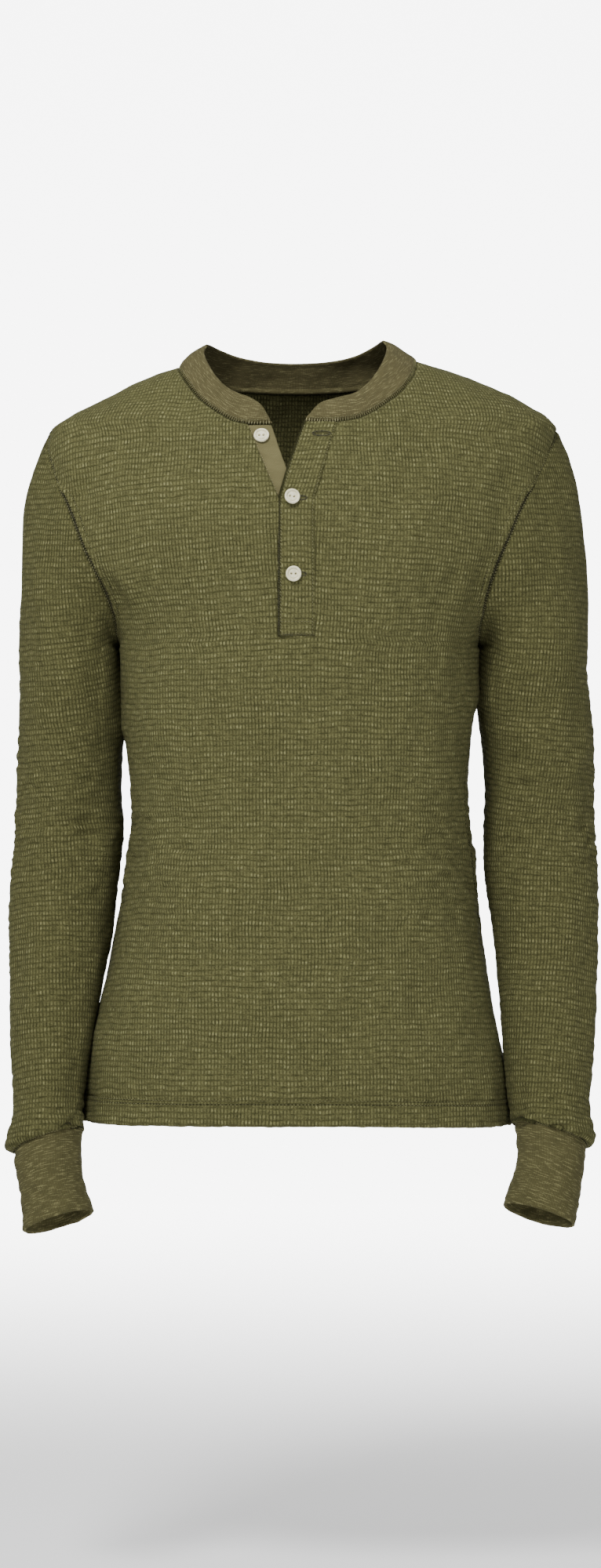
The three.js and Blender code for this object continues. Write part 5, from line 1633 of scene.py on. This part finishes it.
BUTTONS = (
    ("button_top", -30, -68, LOWER_RAISE + 0.3, 0, 2),
    ("button_middle", -5, -121, UPPER_RAISE + 0.3, 14, -4),
    ("button_bottom", -3.6, -183.5, UPPER_RAISE + 0.3, 0, 0),
)
for name, x, z, raised, tilt, spin in BUTTONS:
    nearby = ((x + 6, z), (x - 6, z), (x, z + 6), (x, z - 6), (x, z))
    right, left, above, below, centre = (worn(on_front(np.array(a), np.array(b))) for a, b in nearby)
    across, up = unit(right - left), unit(above - below)
    normal = unit(np.cross(across, up))
    basis = np.stack([across, np.cross(normal, across), normal], 1)
    a, b = math.radians(tilt), math.radians(spin)
    tilted = np.array([[math.cos(a), 0, math.sin(a)], [0, 1, 0], [-math.sin(a), 0, math.cos(a)]])
    spun = np.array([[math.cos(b), -math.sin(b), 0], [math.sin(b), math.cos(b), 0], [0, 0, 1]])
    frame3 = basis @ tilted @ spun
    lift = raised + (BUTTON_DIAMETER / 2 * math.sin(a) if tilt else 0)
    centre = centre + normal * lift
    verts, faces = button_mesh()
    obj = add_object(name + "_disc", verts @ frame3.T + centre, faces, None, button_stuff)
    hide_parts(name)
    s = np.linspace(0, 1, 13)
    # thread through the holes and under the button, in the dark thread: dark partly as thread and partly as
    # painted shade in the holes
    strands = []
    for hole in (-HOLE_APART, HOLE_APART):
        strands.append(tube(np.stack([hole + 0.25 * np.sin(6 * s), 0 * s, mix(-0.2, 0.5, s)], 1), 0.42))
    shank = np.stack([0.4 * np.sin(9 * s), 0.4 * np.cos(9 * s), mix(-0.9, 0.4, s)], 1)
    strands.append(tube(shank, 0.5))
    v, f = joined(strands)
    tied = add_object(name + "_thread", v @ frame3.T + centre, f, None, dark_thread)

# the thread that goes with each piece of cloth, and each piece's flat cut printed
WITH = {name: [thread_objects[name]] for name in names}
for name, knot in knot_objects.items():
    WITH[name].append(knot)
WITH["neckband"].append(band_ends)
WITH["placket_upper"] = [placket_thread, placket_knots, holes, lower_holes, slit_shadow]
WITH["placket_lower"] = [lower_thread]
for name, (width, length, area) in cuts.items():
    area = min(area, width * length)
    print("CUT", name, round(width, 4), round(length, 4), round(area, 5), round(area / (width * length), 3))

# stage, light and camera
def stage_mesh(name, half, profile):
    mesh = bpy.data.meshes.new(name)
    verts = [(x, y, z) for y, z in profile for x in (-half, half)]
    mesh.from_pydata(verts, [], [(2 * i, 2 * i + 1, 2 * i + 3, 2 * i + 2) for i in range(len(profile) - 1)])
    mesh.polygons.foreach_set("use_smooth", [True] * len(mesh.polygons))
    return mesh


FLOOR_Z, SWEEP_Y, SWEEP_RADIUS = -1.02, 3.0, 1.5
FLOOR_HALF, BACKDROP_HALF, BACKDROP_TOP = 5.0, 1.3, 1.8
turns = [math.pi / 2 * i / 16 for i in range(17)]
sweep = [(SWEEP_Y + SWEEP_RADIUS * math.sin(a), FLOOR_Z + SWEEP_RADIUS * (1 - math.cos(a))) for a in turns]
stages = {
    "floor": stage_mesh("floor", FLOOR_HALF, [(-FLOOR_HALF, FLOOR_Z), (SWEEP_Y, FLOOR_Z)]),
    "backdrop": stage_mesh("backdrop", BACKDROP_HALF, sweep + [(SWEEP_Y + SWEEP_RADIUS, BACKDROP_TOP)]),
}
paper = Nodes("paper")
paper_place = paper.tree.nodes.new("ShaderNodeTexCoord").outputs["Object"]
paper_split = paper.tree.nodes.new("ShaderNodeSeparateXYZ")
paper.link(paper_place, paper_split.inputs[0])
paper.finish(paper.blend(paper.noise(paper_place, 2.0, 2.0), (0.83, 0.83, 0.83), (0.85, 0.85, 0.85)), 0.9)
paper.shader.inputs["Emission Color"].default_value = (1, 1, 1, 1)
behind = paper.spread(paper_split.outputs[1], 0.4, 3.0)
in_the_middle = paper.spread(paper.math("ABSOLUTE", paper_split.outputs[0]), 0.8, 1.3, 1.0, 0.0)
glow = paper.times(paper.times(behind, in_the_middle), 5.6)
paper.link(paper.plus(glow, 0.4), paper.shader.inputs["Emission Strength"])
for name, mesh in stages.items():
    mesh.materials.append(paper.material)
    stage_obj = bpy.data.objects.new(name, mesh)
    bpy.context.scene.collection.objects.link(stage_obj)


def area_light(name, place, aim, size, power):
    light = bpy.data.lights.new(name, "AREA")
    light.shape, light.size, light.energy = "DISK", size, power
    obj = bpy.data.objects.new(name, light)
    obj.location = place
    d = np.array(aim) - np.array(place)
    yaw = math.atan2(d[1], d[0]) - math.pi / 2
    pitch = math.atan2(d[2], math.hypot(d[0], d[1])) + math.pi / 2
    obj.rotation_euler = (pitch, 0, yaw)
    bpy.context.scene.collection.objects.link(obj)
    return obj


area_light("key", (-0.75, -1.6, 1.75), (0, 0, -0.3), 0.8, 84)
area_light("fill", (1.6, -2.8, 0.3), (0, 0, -0.4), 1.6, 22)
world = bpy.data.worlds.new("studio")
world.use_nodes = True
world.node_tree.nodes["Background"].inputs[0].default_value = (1, 1, 1, 1)
world.node_tree.nodes["Background"].inputs[1].default_value = 0.46
bpy.context.scene.world = world

CAMERA_AWAY, VIEW_TALL, SENSOR = 3.4, 1.32, 36
camera = bpy.data.cameras.new("camera")
camera.sensor_width, camera.sensor_fit, camera.lens = SENSOR, "AUTO", SENSOR * CAMERA_AWAY / VIEW_TALL
camera_obj = bpy.data.objects.new("camera", camera)
camera_obj.location = (0.002, -CAMERA_AWAY, -0.3541)
camera_obj.rotation_euler = (math.pi / 2, 0, 0)
bpy.context.scene.collection.objects.link(camera_obj)
bpy.context.scene.camera = camera_obj
